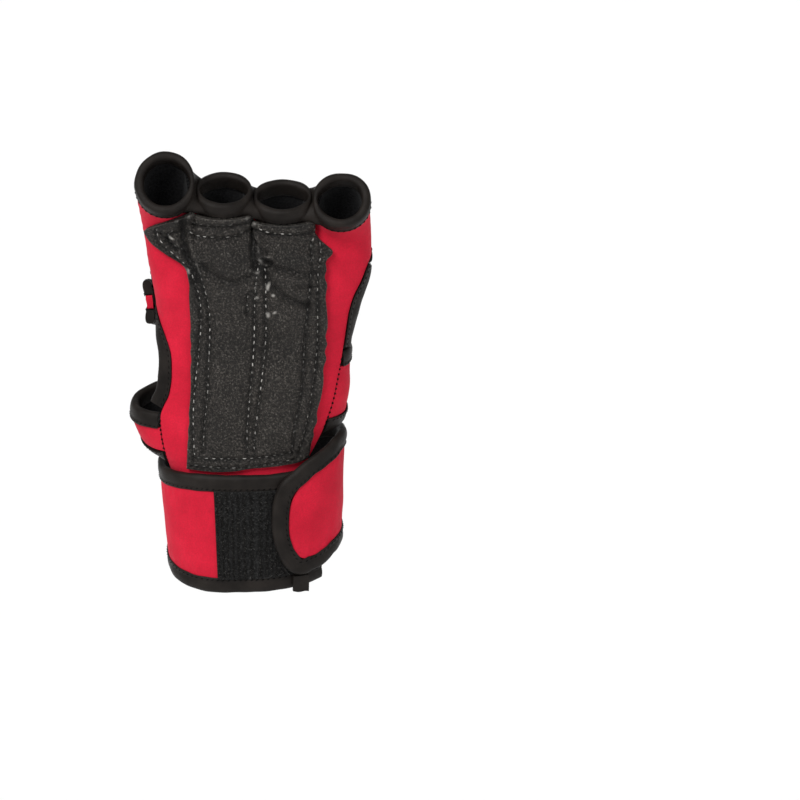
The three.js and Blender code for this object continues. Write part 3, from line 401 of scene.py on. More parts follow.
def loops(u, t, side, fill):
    """Points of the finger loops, from the knuckles (t 0) to the rims (t 1)."""
    angle = knuckle_angle(u) if side < 0 else 180 - knuckle_angle(u)
    p0 = section(FORM, angle, KNUCKLE_Z)
    p1, axes = rim(u, side, fill)
    length = np.linalg.norm(p1 - p0, axis=-1, keepdims=True)
    m0 = unit(p0 - section(FORM, angle, KNUCKLE_Z - LOOP_START_STEP)) * length
    return hermite(p0, m0, p1, axes * length * LOOP_END_PULL, np.asarray(t)[..., None])


def palm(u, h, fill=0.0):
    """Palm side's surface by column and height."""
    u, h = np.broadcast_arrays(np.asarray(u, float), np.asarray(h, float))
    t = np.clip((h - KNUCKLE_Z) / (LOOP_TOP_H - KNUCKLE_Z), 0, 1)
    top = loops(u, t, -1, fill)
    left, right = panel_angle(h, "left"), panel_angle(h, "right")
    low = section(FORM, left + (right - left) * (knuckle_angle(u) + 90) / 180, h)
    return np.where((h > KNUCKLE_Z)[..., None], top, low)


def back(u, h):
    """Finger band's surface by column and height."""
    u, h = np.broadcast_arrays(np.asarray(u, float), np.asarray(h, float))
    t = np.clip((h - KNUCKLE_Z) / (LOOP_TOP_H - KNUCKLE_Z), 0, 1)
    low = section(FORM, 180 - knuckle_angle(u), np.minimum(h, KNUCKLE_Z))
    return np.where((h > KNUCKLE_Z)[..., None], loops(u, t, 1, 0.0), low)


HALVINGS = 22


def column_at_x(x, h, fill=0.0):
    """Palm column at which a row has the given x."""
    x, h = np.broadcast_arrays(np.asarray(x, float), np.asarray(h, float))
    low, high = np.zeros(x.shape), np.ones(x.shape)
    for _ in range(HALVINGS):
        mid = (low + high) / 2
        less = palm(mid, h, fill)[..., 0] < x
        low, high = np.where(less, mid, low), np.where(less, high, mid)
    return (low + high) / 2


def grid_normals(p, flip=False):
    """Unit normals of a grid of points, rows first."""
    along, up = np.gradient(p, axis=1), np.gradient(p, axis=0)
    n = unit(np.cross(along, up))
    return -n if flip else n


def smooth_noise(x, y, seed, octaves=3):
    """Sum of slanted waves: an even, repeatable unevenness between -1 and 1."""
    rng = np.random.default_rng(seed)
    total, size = np.zeros(np.shape(x)), 0.0
    for k in range(octaves):
        for _ in range(4):
            angle, phase = rng.uniform(0, 2 * math.pi, 2)
            f = 2 ** k * rng.uniform(0.7, 1.3)
            total = total + np.sin(f * (x * math.cos(angle) + y * math.sin(angle)) + phase) / 2 ** k
            size += 1 / 2 ** k
    return total / size * 2


def running(steps):
    """Sum of the steps gone at each place, from 0."""
    return np.concatenate([[0], np.cumsum(steps)])


def run_lengths(points):
    """Length gone at each point of a line of points."""
    return running(np.linalg.norm(np.diff(points, axis=0), axis=-1))


def smooth_line(points, step=0.4):
    """Close points along a smooth curve through the given ones."""
    p = np.array(points, float)
    curve = {"at": run_lengths(p), "x": p[:, 0], "v": p[:, 1]}
    at = np.arange(0, curve["at"][-1], step)
    return np.stack([read(curve, at, "x"), read(curve, at, "v")], -1)


def near_line(line, x, v):
    """Distance of points to a line, and how far along the line the nearest place is."""
    best, along = np.full(x.shape, 1e9), np.zeros(x.shape)
    for at, (a, b) in zip(run_lengths(line), line):
        d = (x - a) ** 2 + (v - b) ** 2
        nearer = d < best
        best, along = np.where(nearer, d, best), np.where(nearer, at, along)
    return np.sqrt(best), along


def bell(d, width):
    """1 at 0, fading to both sides over about the width."""
    return np.exp(-(d / width) ** 2)


def new_object(name, vertices, faces, materials, face_slots=None, uvs=None, sharp=()):
    """Smooth-shaded mesh from vertices in millimetres, riding on the root body."""
    mesh = bpy.data.meshes.new(name)
    mesh.from_pydata((np.asarray(vertices) * MM).tolist(), [], faces)
    for material in materials:
        mesh.materials.append(material)
    mesh.polygons.foreach_set("use_smooth", [True] * len(mesh.polygons))
    if face_slots is not None:
        mesh.polygons.foreach_set("material_index", face_slots)
    if uvs is not None:
        layer = mesh.uv_layers.new(name="UVMap")
        index = np.zeros(len(mesh.loops), int)
        mesh.loops.foreach_get("vertex_index", index)
        layer.data.foreach_set("uv", np.asarray(uvs, float)[index].ravel())
    if len(sharp):
        marked = {tuple(sorted(e)) for e in sharp}
        attribute = mesh.attributes.new("sharp_edge", "BOOLEAN", "EDGE")
        flags = [tuple(sorted(e.vertices)) in marked for e in mesh.edges]
        attribute.data.foreach_set("value", flags)
    mesh.update()
    obj = bpy.data.objects.new(name, mesh)
    bpy.context.scene.collection.objects.link(obj)
    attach(obj, "root")
    return obj


def index_quads(index):
    """Corners of a grid's squares, from the grid's vertex numbers."""
    corners = [index[:-1, :-1], index[:-1, 1:], index[1:, 1:], index[1:, :-1]]
    return np.stack(corners, -1).reshape(-1, 4)


def grid_index(grid):
    return np.arange(grid[..., 0].size).reshape(grid.shape[:2])


def wall_object(name, outer, inner, materials, flip=False, side_slot=0):
    """Closed wall from two grids of points: the second material is on the inner face."""
    index = grid_index(outer)
    count = index.size
    quads = index_quads(index)
    around = np.concatenate([index[0, :-1], index[:-1, -1], index[-1, :0:-1], index[:0:-1, 0]])
    if flip:
        quads, around = quads[:, ::-1], around[::-1]
    after = np.roll(around, -1)
    sides = np.stack([after, around, around + count, after + count], -1)
    faces = np.concatenate([quads, quads[:, ::-1] + count, sides])
    slots = [0] * len(quads) + [1] * len(quads) + [side_slot] * len(sides)
    u, v = (running(np.linalg.norm(np.diff(outer, axis=k), axis=-1).mean(1 - k)) for k in (1, 0))
    uv = np.stack(np.meshgrid(u, v), -1).reshape(-1, 2) * UV_PER_MM
    edges = np.stack([around, after], -1)
    sharp = np.concatenate([edges, edges + count]).tolist()
    vertices = np.concatenate([outer.reshape(-1, 3), inner.reshape(-1, 3)])
    return new_object(name, vertices, faces.tolist(), materials, slots, np.concatenate([uv, uv]), sharp)


# Stitches and seen places
def seen_tree(grid):
    """Search tree of a grid of points, for what the photograph's view sees of it."""
    return BVHTree.FromPolygons(grid.reshape(-1, 3).tolist(), index_quads(grid_index(grid)).tolist())


def seen_places(tree, line):
    """Points and normals where a line of (x, seen height) falls on a piece."""
    ahead = Vector((0, 1, -SEEN_TILT)).normalized()
    start = -200.0
    points, normals = [], []
    for x, v in line:
        place, normal, _, _ = tree.ray_cast(Vector((x, start, v - SEEN_TILT * start)), ahead)
        if place is not None:
            points.append(place)
            normals.append(-normal if normal.dot(ahead) > 0 else normal)
    return np.array(points), np.array(normals)


def blurred(values, times):
    """Values along a line, evened out with their neighbours."""
    for _ in range(times):
        padded = np.concatenate([values[:1], values, values[-1:]])
        values = (padded[:-2] + 2 * padded[1:-1] + padded[2:]) / 4
    return values


def stitch_row(points, normals, pitch, length, radius, seed, loose=0.0, slant=0.0):
    """Vertices and faces of short threads along a line, middles out and ends in the cloth."""
    rng = np.random.default_rng(seed)
    at = run_lengths(points)
    sides, rings = 6, 5
    swell = np.array([0.55, 0.95, 1.0, 0.95, 0.55]) * radius
    arch = np.array([-1.6, -0.1, 0.25, -0.1, -1.6]) * radius
    ring = np.radians(np.arange(sides) * 360 / sides)
    vertices, faces = [], []
    start = 0.4
    while start + length < at[-1]:
        s = start + np.linspace(0, length, rings) + rng.uniform(-0.15, 0.15)
        centre = np.stack([np.interp(s, at, points[:, k]) for k in range(3)], -1)
        out = unit(np.stack([np.interp(s, at, normals[:, k]) for k in range(3)], -1))
        run = unit(centre[-1] - centre[0])
        side = unit(np.cross(out, run))
        turn = slant + rng.uniform(-0.16, 0.16)
        lean = np.linspace(-turn, turn, rings) * length / 2
        centre = centre + out * (arch - rng.uniform(0, loose))[:, None] + side * lean[:, None]
        first = len(vertices)
        for k in range(rings):
            for angle in ring:
                offset = out[k] * math.cos(angle) + side[k] * math.sin(angle)
                vertices.append(centre[k] + offset * swell[k])
        for k in range(rings - 1):
            for n in range(sides):
                a, b = first + k * sides + n, first + k * sides + (n + 1) % sides
                faces.append((a, b, b + sides, a + sides))
        faces.append(tuple(first + n for n in range(sides))[::-1])
        faces.append(tuple(first + (rings - 1) * sides + n for n in range(sides)))
        start += pitch * rng.uniform(0.93, 1.07)
    return vertices, faces


def stitch_object(name, rows, material):
    """One object from rows of stitches, each given as the arguments of stitch_row."""
    vertices, faces = [], []
    for row in rows:
        made, quads = stitch_row(*row)
        faces += [tuple(k + len(vertices) for k in quad) for quad in quads]
        vertices += made
    obj = new_object(name, vertices, faces, [material])
    return obj


# Folded tape's section in half sizes: across, where 1 is the side that laps the panel, and out
TAPE_SECTION = [
    (1.32, 0.83), (1.33, 0.93), (1.24, 1.03), (1.02, 1.08), (0.86, 1.05), (0.7, 0.98), (0.54, 1.06),
    (0.2, 1.12), (-0.2, 1.11), (-0.52, 1.03), (-0.79, 0.86), (-0.96, 0.5), (-1.02, 0.0),
    (-0.96, -0.5), (-0.79, -0.86), (-0.45, -1.02), (0.2, -1.06), (0.9, -1.05), (1.24, -1.0), (1.33, -0.92),
    (1.32, -0.83), (1.09, -0.79), (1.09, 0.79),
]
TAPE_STITCH_OUT = 1.06
TAPE_STITCH_PITCH = 2.3
TAPE_STITCH_LENGTH = 1.5
TAPE_STITCH_RADIUS = 0.24
TAPE_STITCH_SLANT = 0.45
TAPE_RIPPLE = 0.05


def tape_frame(points, normals, closed, inward):
    """Across axes of a tape, turned towards the panel it binds."""
    if closed:
        run = np.roll(points, -1, 0) - np.roll(points, 1, 0)
    else:
        run = np.gradient(points, axis=0)
    across = unit(np.cross(run, normals))
    side = np.sign(np.mean(np.sum(across * inward, -1)))
    return across * (side if side else 1.0), unit(run)


def tape_object(name, points, normals, inward, seed, closed=False, thickness=None,
                ends=(None, None), lap=None):
    """Tape folded over an edge, a little uneven along its run, with its row of stitches."""
    count = len(points)
    across, run = tape_frame(points, normals, closed, inward)
    for end, cut in zip((0, -1), ends):
        if cut is not None:
            across[end] = cut if cut @ across[end] > 0 else -cut
    thick = np.full(count, TAPE_HALF_THICKNESS) if thickness is None else thickness
    lap = np.ones(count) if lap is None else lap
    length = run_lengths(points)
    rng = np.random.default_rng(seed)
    phase = rng.uniform(0, 6, 6)
    ripple = sum(TAPE_RIPPLE * np.sin(length / wave + p) for wave, p in zip((1.3, 2.7, 7.3), phase))
    if closed:
        ripple *= np.minimum(1, np.minimum(length, length[-1] - length) / 6)
    section_points = np.array(TAPE_SECTION)
    sides = len(section_points)
    wide = section_points[:, 0][None, :]
    wide = np.where(wide > 1, 1 + (wide - 1) * lap[:, None], wide)
    bulge = 1 + ripple[:, None] * (1.1 - np.abs(section_points[:, 0])[None, :])
    t = section_points[:, 1][None, :] * thick[:, None] * bulge
    w = wide * TAPE_HALF_WIDTH * (1 + 0.35 * ripple[:, None])
    vertices = points[:, None, :] + across[:, None, :] * w[..., None] + normals[:, None, :] * t[..., None]
    flip = np.sum(np.cross(across, normals) * run) < 0
    faces = []
    for i in range(count if closed else count - 1):
        a, b = i * sides, ((i + 1) % count) * sides
        for k in range(sides):
            n = (k + 1) % sides
            quad = (a + k, a + n, b + n, b + k)
            faces.append(quad if flip else quad[::-1])
    sharp = []
    if not closed:
        first = tuple(range(sides))
        last = tuple((count - 1) * sides + k for k in range(sides))
        faces += [first[::-1], last] if flip else [first, last[::-1]]
        for ring in (first, last):
            sharp += [(ring[k], ring[(k + 1) % sides]) for k in range(sides)]
    fold = run_lengths(section_points * 2.2)
    uv = np.stack(np.meshgrid(fold, length), -1).reshape(-1, 2) * UV_PER_MM
    obj = new_object(name, vertices.reshape(-1, 3), faces, [TAPE], None, uv, sharp)
    seam = points + across * TAPE_HALF_WIDTH + normals * (TAPE_STITCH_OUT * thick)[:, None]
    if closed:
        seam, normals = np.concatenate([seam, seam[:1]]), np.concatenate([normals, normals[:1]])
    row = (seam, normals, TAPE_STITCH_PITCH, TAPE_STITCH_LENGTH, TAPE_STITCH_RADIUS, seed + 100,
           0.0, TAPE_STITCH_SLANT)
    stitch_object(name.replace("_tape", "_stitches"), [row], BLACK_THREAD)
    return obj


# Light: where each broad lamp comes from, how wide it is in degrees and its strength
WORLD_STRENGTH = 0.34
LAMPS = [
    ("key", (-0.62, -0.72, 1.0), 28, 2.8),
    ("front", (0.75, -0.8, 0.35), 60, 0.75),
]


# Materials
WHITE = (1, 1, 1, 1)


def nodes_of(name, base, roughness, specular, sheen=0.0, sheen_tint=WHITE):
    material = bpy.data.materials.new(name)
    material.use_nodes = True
    tree = material.node_tree
    shader = tree.nodes["Principled BSDF"]
    for key, value in (("Base Color", (*base, 1)), ("Roughness", roughness), ("Sheen Weight", sheen),
                       ("Sheen Roughness", 0.45), ("Sheen Tint", sheen_tint),
                       ("Specular IOR Level", specular)):
        shader.inputs[key].default_value = value
    return material, tree, shader


def feed(tree, made, inputs):
    """Sets a node's inputs: a socket is linked and a number or colour is written."""
    for key, value in inputs.items():
        if isinstance(value, bpy.types.NodeSocket):
            tree.links.new(value, made.inputs[key])
        else:
            made.inputs[key].default_value = value


def node(tree, kind, inputs=(), **settings):
    made = tree.nodes.new(kind)
    for key, value in settings.items():
        setattr(made, key, value)
    feed(tree, made, dict(inputs))
    return made


def noise(tree, coords, scale, detail, roughness=0.5):
    inputs = {"Vector": coords, "Scale": scale, "Detail": detail, "Roughness": roughness}
    return node(tree, "ShaderNodeTexNoise", inputs).outputs["Fac"]


def ramp(tree, source, stops):
    made = node(tree, "ShaderNodeValToRGB", {"Fac": source})
    elements = made.color_ramp.elements
    while len(elements) < len(stops):
        elements.new(0.5)
    for element, (at, colour) in zip(elements, stops):
        element.position = at
        element.color = (*colour, 1)
    return made.outputs["Color"]


def mix(tree, inputs, **settings):
    return node(tree, "ShaderNodeMix", inputs, data_type="RGBA", **settings).outputs["Result"]


def grey(v):
    return (v, v, v)


def maths(tree, operation, a, b=0.0):
    return node(tree, "ShaderNodeMath", {0: a, 1: b}, operation=operation).outputs[0]


def bumped(tree, shader, heights):
    """Chains bump nodes: each entry is a height socket, its strength and its distance in metres."""
    inputs = {}
    for height, strength, distance in heights:
        inputs.update(Height=height, Strength=strength, Distance=distance)
        inputs["Normal"] = node(tree, "ShaderNodeBump", inputs).outputs["Normal"]
    tree.links.new(inputs["Normal"], shader.inputs["Normal"])


def knit_height(tree, scale_u, scale_v):
    """Fine jersey knit from two crossed waves on the piece's own length coordinates."""
    uv = node(tree, "ShaderNodeUVMap").outputs["UV"]
    parts = node(tree, "ShaderNodeSeparateXYZ", {"Vector": uv}).outputs
    waves = [maths(tree, "SINE", maths(tree, "MULTIPLY", parts[axis], scale))
             for axis, scale in (("X", scale_u), ("Y", scale_v))]
    return maths(tree, "MULTIPLY", *waves)


def cloth_material(name, base, roughness, specular, noises, tone, bumps, knit=None, rough=None,
                   speck=None, **sheen):
    """Cloth, thread or nap. A noise is given as scale, detail and roughness, and tone, rough and
    speck as a noise's name and a ramp's stops. A bump is a name, a strength and a distance."""
    material, tree, shader = nodes_of(name, base, roughness, specular, **sheen)
    coords = node(tree, "ShaderNodeTexCoord").outputs["Object"]
    heights = {key: noise(tree, coords, *sizes) for key, sizes in noises.items()}
    if knit:
        heights["knit"] = knit_height(tree, *knit)
    colour = ramp(tree, heights[tone[0]], tone[1])
    if speck:
        specks = ramp(tree, heights[speck[0]], speck[1])
        colour = mix(tree, {"Factor": 0.8, "A": colour, "B": specks}, blend_type="MULTIPLY")
    tree.links.new(colour, shader.inputs["Base Color"])
    if rough:
        tree.links.new(ramp(tree, heights[rough[0]], rough[1]), shader.inputs["Roughness"])
    bumped(tree, shader, [(heights[key], *sizes) for key, *sizes in bumps])
    return material


def leather_material():
    """Pebbled leather, pale where "wear" is high and darkened by painted shade in its grooves, folds and
    shaded zones; pale specks on the pebble tops are painted glints.
    """
    material, tree, shader = nodes_of("grained_leather", (0.02, 0.018, 0.016), 0.5, 0.24)
    coords = node(tree, "ShaderNodeTexCoord").outputs["Object"]
    warp = node(tree, "ShaderNodeTexNoise", {"Vector": coords, "Scale": 500, "Detail": 2})
    warped = {"Factor": 0.0009, "A": coords, "B": warp.outputs["Color"]}
    shifted = mix(tree, warped, blend_type="LINEAR_LIGHT")
    grain = node(tree, "ShaderNodeTexVoronoi", {"Vector": shifted, "Scale": 1050}, feature="DISTANCE_TO_EDGE")
    cloud = noise(tree, coords, 60, 5, 0.6)
    fine = noise(tree, coords, 1250, 3, 0.65)
    wear, painted_shade = (node(tree, "ShaderNodeAttribute", attribute_name=name).outputs["Fac"]
                    for name in ("wear", "painted_shade"))
    pebble = ramp(tree, grain.outputs["Distance"], [(0.0, grey(0)), (0.1, grey(0.7)), (0.35, grey(1))])
    tone = ramp(tree, cloud, [(0.3, (0.034, 0.0290, 0.0246)), (0.7, (0.062, 0.0535, 0.0458))])
    patchy = ramp(tree, fine, [(0.4, grey(0.26)), (0.6, grey(1.0))])
    light = maths(tree, "ADD", maths(tree, "MULTIPLY", pebble, 0.75), 0.25)
    light = maths(tree, "MULTIPLY", light, patchy)
    # Painted shade darkens the leather in its grooves, folds and shaded zones.
    dimmed = maths(tree, "SUBTRACT", 1.0, maths(tree, "MULTIPLY", painted_shade, 0.82))
    light = maths(tree, "MULTIPLY", light, dimmed)
    shade = mix(tree, {"Factor": light, "A": (0.001, 0.0009, 0.0008, 1), "B": tone}, clamp_factor=False)
    # Painted glints: pale specks on the pebble tops, in random patches.
    glint_patches = ramp(tree, fine, [(0.54, grey(0)), (0.68, grey(1))])
    pebble_glints = maths(tree, "MULTIPLY", glint_patches, maths(tree, "MULTIPLY", pebble, 0.16))
    chalk = maths(tree, "MULTIPLY", maths(tree, "SUBTRACT", wear, 0.25), maths(tree, "ADD", fine, 0.4))
    amount = maths(tree, "MINIMUM", maths(tree, "ADD", pebble_glints, maths(tree, "MAXIMUM", chalk)), 1.0)
    # One pale colour for the painted glints and for the real wear.
    colour = mix(tree, {"Factor": amount, "A": shade, "B": (0.44, 0.42, 0.39, 1)})
    tree.links.new(colour, shader.inputs["Base Color"])
    rough = ramp(tree, fine, [(0.3, grey(0.36)), (0.7, grey(0.6))])
    tree.links.new(rough, shader.inputs["Roughness"])
    bumped(tree, shader, [(cloud, 0.4, 0.001), (pebble, 0.9, 0.0004), (fine, 0.7, 0.0005)])
    return material


def loop_material(name, dark, light, strength):
    tone = ("fine", [(0.42, dark), (0.56, tuple(4 * k for k in dark)), (0.66, light)])
    return cloth_material(name, dark, 0.9, 0.1, {"fine": (1400, 4, 0.8)}, tone, [("fine", strength, 0.0004)],
                          sheen=0.08, sheen_tint=(0.8, 0.76, 0.72, 1))


def thread_material(name, colour, glint, specular):
    tone = ("fine", [(0.4, tuple(c * 0.4 for c in colour)), (0.62, glint)])
    return cloth_material(name, colour, 0.6, specular, {"fine": (330, 3)}, tone, [("fine", 0.5, 0.0001)])


RED = cloth_material(
    "red_knit", (0.55, 0.0105, 0.032), 0.8, 0.13, {"cloud": (55, 4, 0.6), "fine": (1500, 3, 0.65)},
    ("cloud", [(0.3, (0.46, 0.0080, 0.026)), (0.55, (0.56, 0.0105, 0.033)), (0.75, (0.64, 0.0145, 0.042))]),
    [("cloud", 0.25, 0.0006), ("knit", 0.35, 0.0001), ("fine", 0.35, 0.00012)], (900, 900),
    ("fine", [(0.3, grey(0.7)), (0.7, grey(0.92))]), ("fine", [(0.3, grey(0.80)), (0.7, grey(1.1))]),
    sheen=0.15, sheen_tint=(1, 0.25, 0.33, 1))
TAPE = cloth_material(
    "black_tape", (0.008, 0.007, 0.0064), 0.5, 0.12, {"cloud": (120, 4), "fine": (2200, 2)},
    ("cloud", [(0.3, (0.0060, 0.0047, 0.0040)), (0.7, (0.0165, 0.0132, 0.0112))]),
    [("cloud", 0.25, 0.0004), ("knit", 0.4, 0.0001), ("fine", 0.35, 0.00008)], (1100, 700),
    ("fine", [(0.3, grey(0.38)), (0.7, grey(0.56))]))
LINING = cloth_material(
    "black_lining", (0.01, 0.01, 0.0105), 0.95, 0.1, {"fine": (1300, 3)},
    ("fine", [(0.35, (0.007, 0.007, 0.0075)), (0.7, (0.02, 0.02, 0.021))]),
    [("knit", 0.5, 0.00015), ("fine", 0.4, 0.0001)], (700, 700), sheen=0.05, sheen_tint=(0.6, 0.6, 0.6, 1))
LEATHER = leather_material()
LOOP = loop_material("loop_ground", (0.004, 0.004, 0.004), (0.05, 0.05, 0.05), 0.9)
NAP = loop_material("loop_nap", (0.004, 0.0038, 0.0036), (0.2, 0.192, 0.18), 0.3)
GREY_THREAD = thread_material("grey_thread", (0.16, 0.152, 0.142), (0.46, 0.445, 0.42), 0.2)
# Darker thread for the fainter stitch rows.
DARKER_THREAD = thread_material("darker_thread", (0.05, 0.048, 0.045), (0.2, 0.195, 0.185), 0.2)
BLACK_THREAD = thread_material("black_thread", (0.0016, 0.0015, 0.0014), (0.005, 0.0048, 0.0046), 0.06)


# Palm panel and finger back band; a panel's relief is in millimetres
SWELL = 0.3
FINE_SWELL = 0.1
PUCKER_HEIGHT = 0.13
PUCKER_RATE = 1.55
PANEL_SEAM_FADE = 2.4
PANEL_COLUMNS = 145
WEB_TAPE_PLACE = dict(above=162.5, first=0.235, last=0.76)


def puckers(edge, along, seed):
    """Small gathers that a seam pulls into a panel, fading away from its edge."""
    wave = np.sin(along * PUCKER_RATE + 1.7 * np.sin(along / 9.0 + seed))
    return PUCKER_HEIGHT * wave * bell(edge - 2.0, 2.2)


def panel_relief(points, u_edge, v_edge, seed):
    """Unevenness of a padded panel, level at its edges."""
    x, z = points[..., 0], points[..., 2]
    free = 1 - bell(np.minimum(u_edge, v_edge), PANEL_SEAM_FADE)
    swell = SWELL * smooth_noise(x / 9, z / 11, seed) + FINE_SWELL * smooth_noise(x / 3.1, z / 3.4, seed + 1)
    return swell * free + puckers(u_edge, z, seed) * free


def edge_lengths(grid):
    """Distance of each grid point to its row's and column's nearer end."""
    ends = []
    for axis in (1, 0):
        steps = np.linalg.norm(np.diff(grid, axis=axis), axis=-1)
        gone = np.cumsum(np.insert(steps, 0, 0.0, axis=axis), axis=axis)
        ends.append(np.minimum(gone, np.take(gone, [-1], axis=axis) - gone))
    return ends


def palm_panel():
    u = np.linspace(0, 1, PANEL_COLUMNS)
    below, above = np.linspace(PANEL_FOOT_Z, KNUCKLE_Z, 116), np.linspace(KNUCKLE_Z, LOOP_TOP_H, 43)[1:]
    h = np.concatenate([below, above])
    grid_u, grid_h = np.meshgrid(u, h)
    points = palm(grid_u, grid_h)
    normals = grid_normals(points)
    outer = points + normals * panel_relief(points, *edge_lengths(points), 3)[..., None]
    obj = wall_object("palm_panel_shell", outer, points - normals * WALL, [RED, LINING, TAPE], False, 1)
    between_webs = (grid_u > WEB_TAPE_PLACE["first"]) & (grid_u < WEB_TAPE_PLACE["last"])
    under_tape = (grid_h > WEB_TAPE_PLACE["above"]) & between_webs
    slots = np.zeros(len(obj.data.polygons), int)
    obj.data.polygons.foreach_get("material_index", slots)
    slots[:under_tape[:-1, :-1].size][under_tape[:-1, :-1].ravel()] = 2
    obj.data.polygons.foreach_set("material_index", slots)
    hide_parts("palm_panel")
    return obj, points


def band_foot(u):
    """Height of the finger band's lower edge by column."""
    return BAND_FOOT_THUMB + (BAND_FOOT_PINKY - BAND_FOOT_THUMB) * (u * u * (3 - 2 * u))


def finger_back_band():
    grid_u, grid_r = np.meshgrid(np.linspace(0, 1, PANEL_COLUMNS), np.linspace(0, 1, 56))
    grid_h = band_foot(grid_u) + (LOOP_TOP_H - band_foot(grid_u)) * grid_r
    points = back(grid_u, grid_h)
    normals = grid_normals(points, True)
    outer = points + normals * panel_relief(points, *edge_lengths(points), 5)[..., None]
    obj = wall_object("finger_back_band_shell", outer, points - normals * WALL, [RED, LINING], True, 1)
    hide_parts("finger_back_band")
    return obj, points


# Grip pad: its stitches and the relief of its leather, in millimetres
PAD_FILL = 0.5
PAD_GRID = (170, 250)
PAD_STITCH_PITCH = 3.1
PAD_STITCH_LENGTH = 2.1
PAD_STITCH_RADIUS = 0.23
PAD_STITCH_LOOSE = 0.2
PAD_EDGE_WAVES = (0.15, 0.35)
SEAM_DEPTH = 0.75
SEAM_WIDTH = 0.8
GATHER_HEIGHT = 0.13
QUILT_HEIGHT = 0.6
QUILT_WIDTH = 3.2
FOLD_RELIEF = 1.25
FOLD_SHOULDER = 0.35
SCUFF_WEAR = 1.2
RELIEF_LIMITS = (-1.5, 1.9)


def pad_point(c, r):
    """Pad's mean surface by column and row, its side edges a little wavy."""
    foot, top = read(PAD_ENDS, c, "foot"), read(PAD_ENDS, c, "top")
    h = foot + (top - foot) * r
    wave = np.sin(h * 0.62 + 2.2 * np.sin(h / 5.3))
    wave = wave * np.clip((h - 58) / 10, 0, 1) * np.clip((160 - h) / 8, 0, 1)
    left, right = (column_at_x(read(PAD_EDGES, h, side) + size * wave, h, PAD_FILL)
                   for side, size in zip(("left", "right"), PAD_EDGE_WAVES))
    return palm(left + (right - left) * c, h, PAD_FILL)


def pad_relief(points, edge):
    """Height of the leather over its mean level, how worn it is, and how much painted shade darkens it in
    grooves, folds and shaded zones.
    """
    x, v = points[..., 0], points[..., 2] + SEEN_TILT * points[..., 1]
    height = 0.16 * smooth_noise(x / 6.0, v / 7.0, 12) + 0.07 * smooth_noise(x / 1.7, v / 1.9, 13)
    nearest = np.full(x.shape, 99.0)
    gather = np.zeros(x.shape)
    for k, line in enumerate(STITCH_ROWS.values()):
        d, along = near_line(smooth_line(line), x, v)
        height -= SEAM_DEPTH * bell(d, SEAM_WIDTH)
        gather += np.sin(along * 2 * math.pi / PAD_STITCH_PITCH + k) * bell(d - 1.3, 1.2)
        nearest = np.minimum(nearest, d)
    height += GATHER_HEIGHT * gather + QUILT_HEIGHT * (1 - bell(nearest, QUILT_WIDTH))
    wear = 0.35 * bell(edge, 0.7)
    # Painted shade along the stitch rows' grooves.
    painted_shade = 0.75 * bell(nearest, 1.0)
    for depth, width, line in FOLDS:
        d, _ = near_line(smooth_line(line), x, v)
        shoulder = FOLD_SHOULDER * bell(d - 2.3 * width, 1.3 * width)
        height += FOLD_RELIEF * depth * (shoulder - bell(d, width))
        # Painted shade along each fold's line; the crest beside it is drawn paler.
        painted_shade = painted_shade + 0.85 * depth * bell(d, 1.15 * width)
        wear = wear + 0.22 * depth * bell(d - 1.9 * width, 0.5 * width)
    # Painted shade in the broad zones of SHADES.
    for x0, v0, across, up, amount in zip(*SHADES.values()):
        painted_shade = painted_shade + amount * np.exp(-((x - x0) / across) ** 2 - ((v - v0) / up) ** 2)
    for x0, v0, across, up, swell in zip(*FILLED.values()):
        r = np.hypot((x - x0) / across, (v - v0) / up)
        height += swell * np.clip(1 - r ** 2.6, 0, 1)
    for x0, v0, across, up, slant in zip(*SCUFFS.values()):
        a = math.radians(slant)
        dx, dv = x - x0, v - v0
        p = (dx * math.cos(a) + dv * math.sin(a)) / across
        q = (dv * math.cos(a) - dx * math.sin(a)) / up
        wear = wear + SCUFF_WEAR * np.exp(-(p * p + q * q))
    height = np.clip(height, *RELIEF_LIMITS) * (1 - 0.85 * bell(edge, 1.1)) - 0.5 * bell(edge, 0.6)
    return height, np.clip(wear, 0, 1.3), np.clip(painted_shade, 0, 1)


def grip_pad():
    c, r = np.meshgrid(*(np.linspace(0, 1, count) for count in PAD_GRID))
    points = pad_point(c, r)
    normals = grid_normals(points)
    height, wear, painted_shade = pad_relief(points, np.minimum(*edge_lengths(points)))
    outer = points + normals * (PAD_LIFT + PAD_THICKNESS + height)[..., None]
    inner = points + normals * (PAD_LIFT - 0.1)
    obj = wall_object("grip_pad_leather", outer, inner, [LEATHER, LEATHER])
    # Wear and painted shade are stored as point attributes for the leather.
    for name, values in (("wear", wear), ("painted_shade", painted_shade)):
        layer = obj.data.attributes.new(name, "FLOAT", "POINT")
        layer.data.foreach_set("value", np.concatenate([values.ravel(), np.zeros(values.size)]))
    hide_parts("grip_pad")
    tree = seen_tree(outer)
    for name, material, names in (
        ("grip_pad_stitches", GREY_THREAD, [n for n in STITCH_ROWS if n not in FAINT_ROWS]),
        ("grip_pad_darker_stitches", DARKER_THREAD, list(FAINT_ROWS)),
    ):
        rows = []
        for k, key in enumerate(names):
            places, out = seen_places(tree, smooth_line(STITCH_ROWS[key]))
            rows.append((blurred(places, 3), blurred(out, 6), PAD_STITCH_PITCH, PAD_STITCH_LENGTH,
                         PAD_STITCH_RADIUS, 60 + k, PAD_STITCH_LOOSE))
        stitch_object(name, rows, material)
    return obj


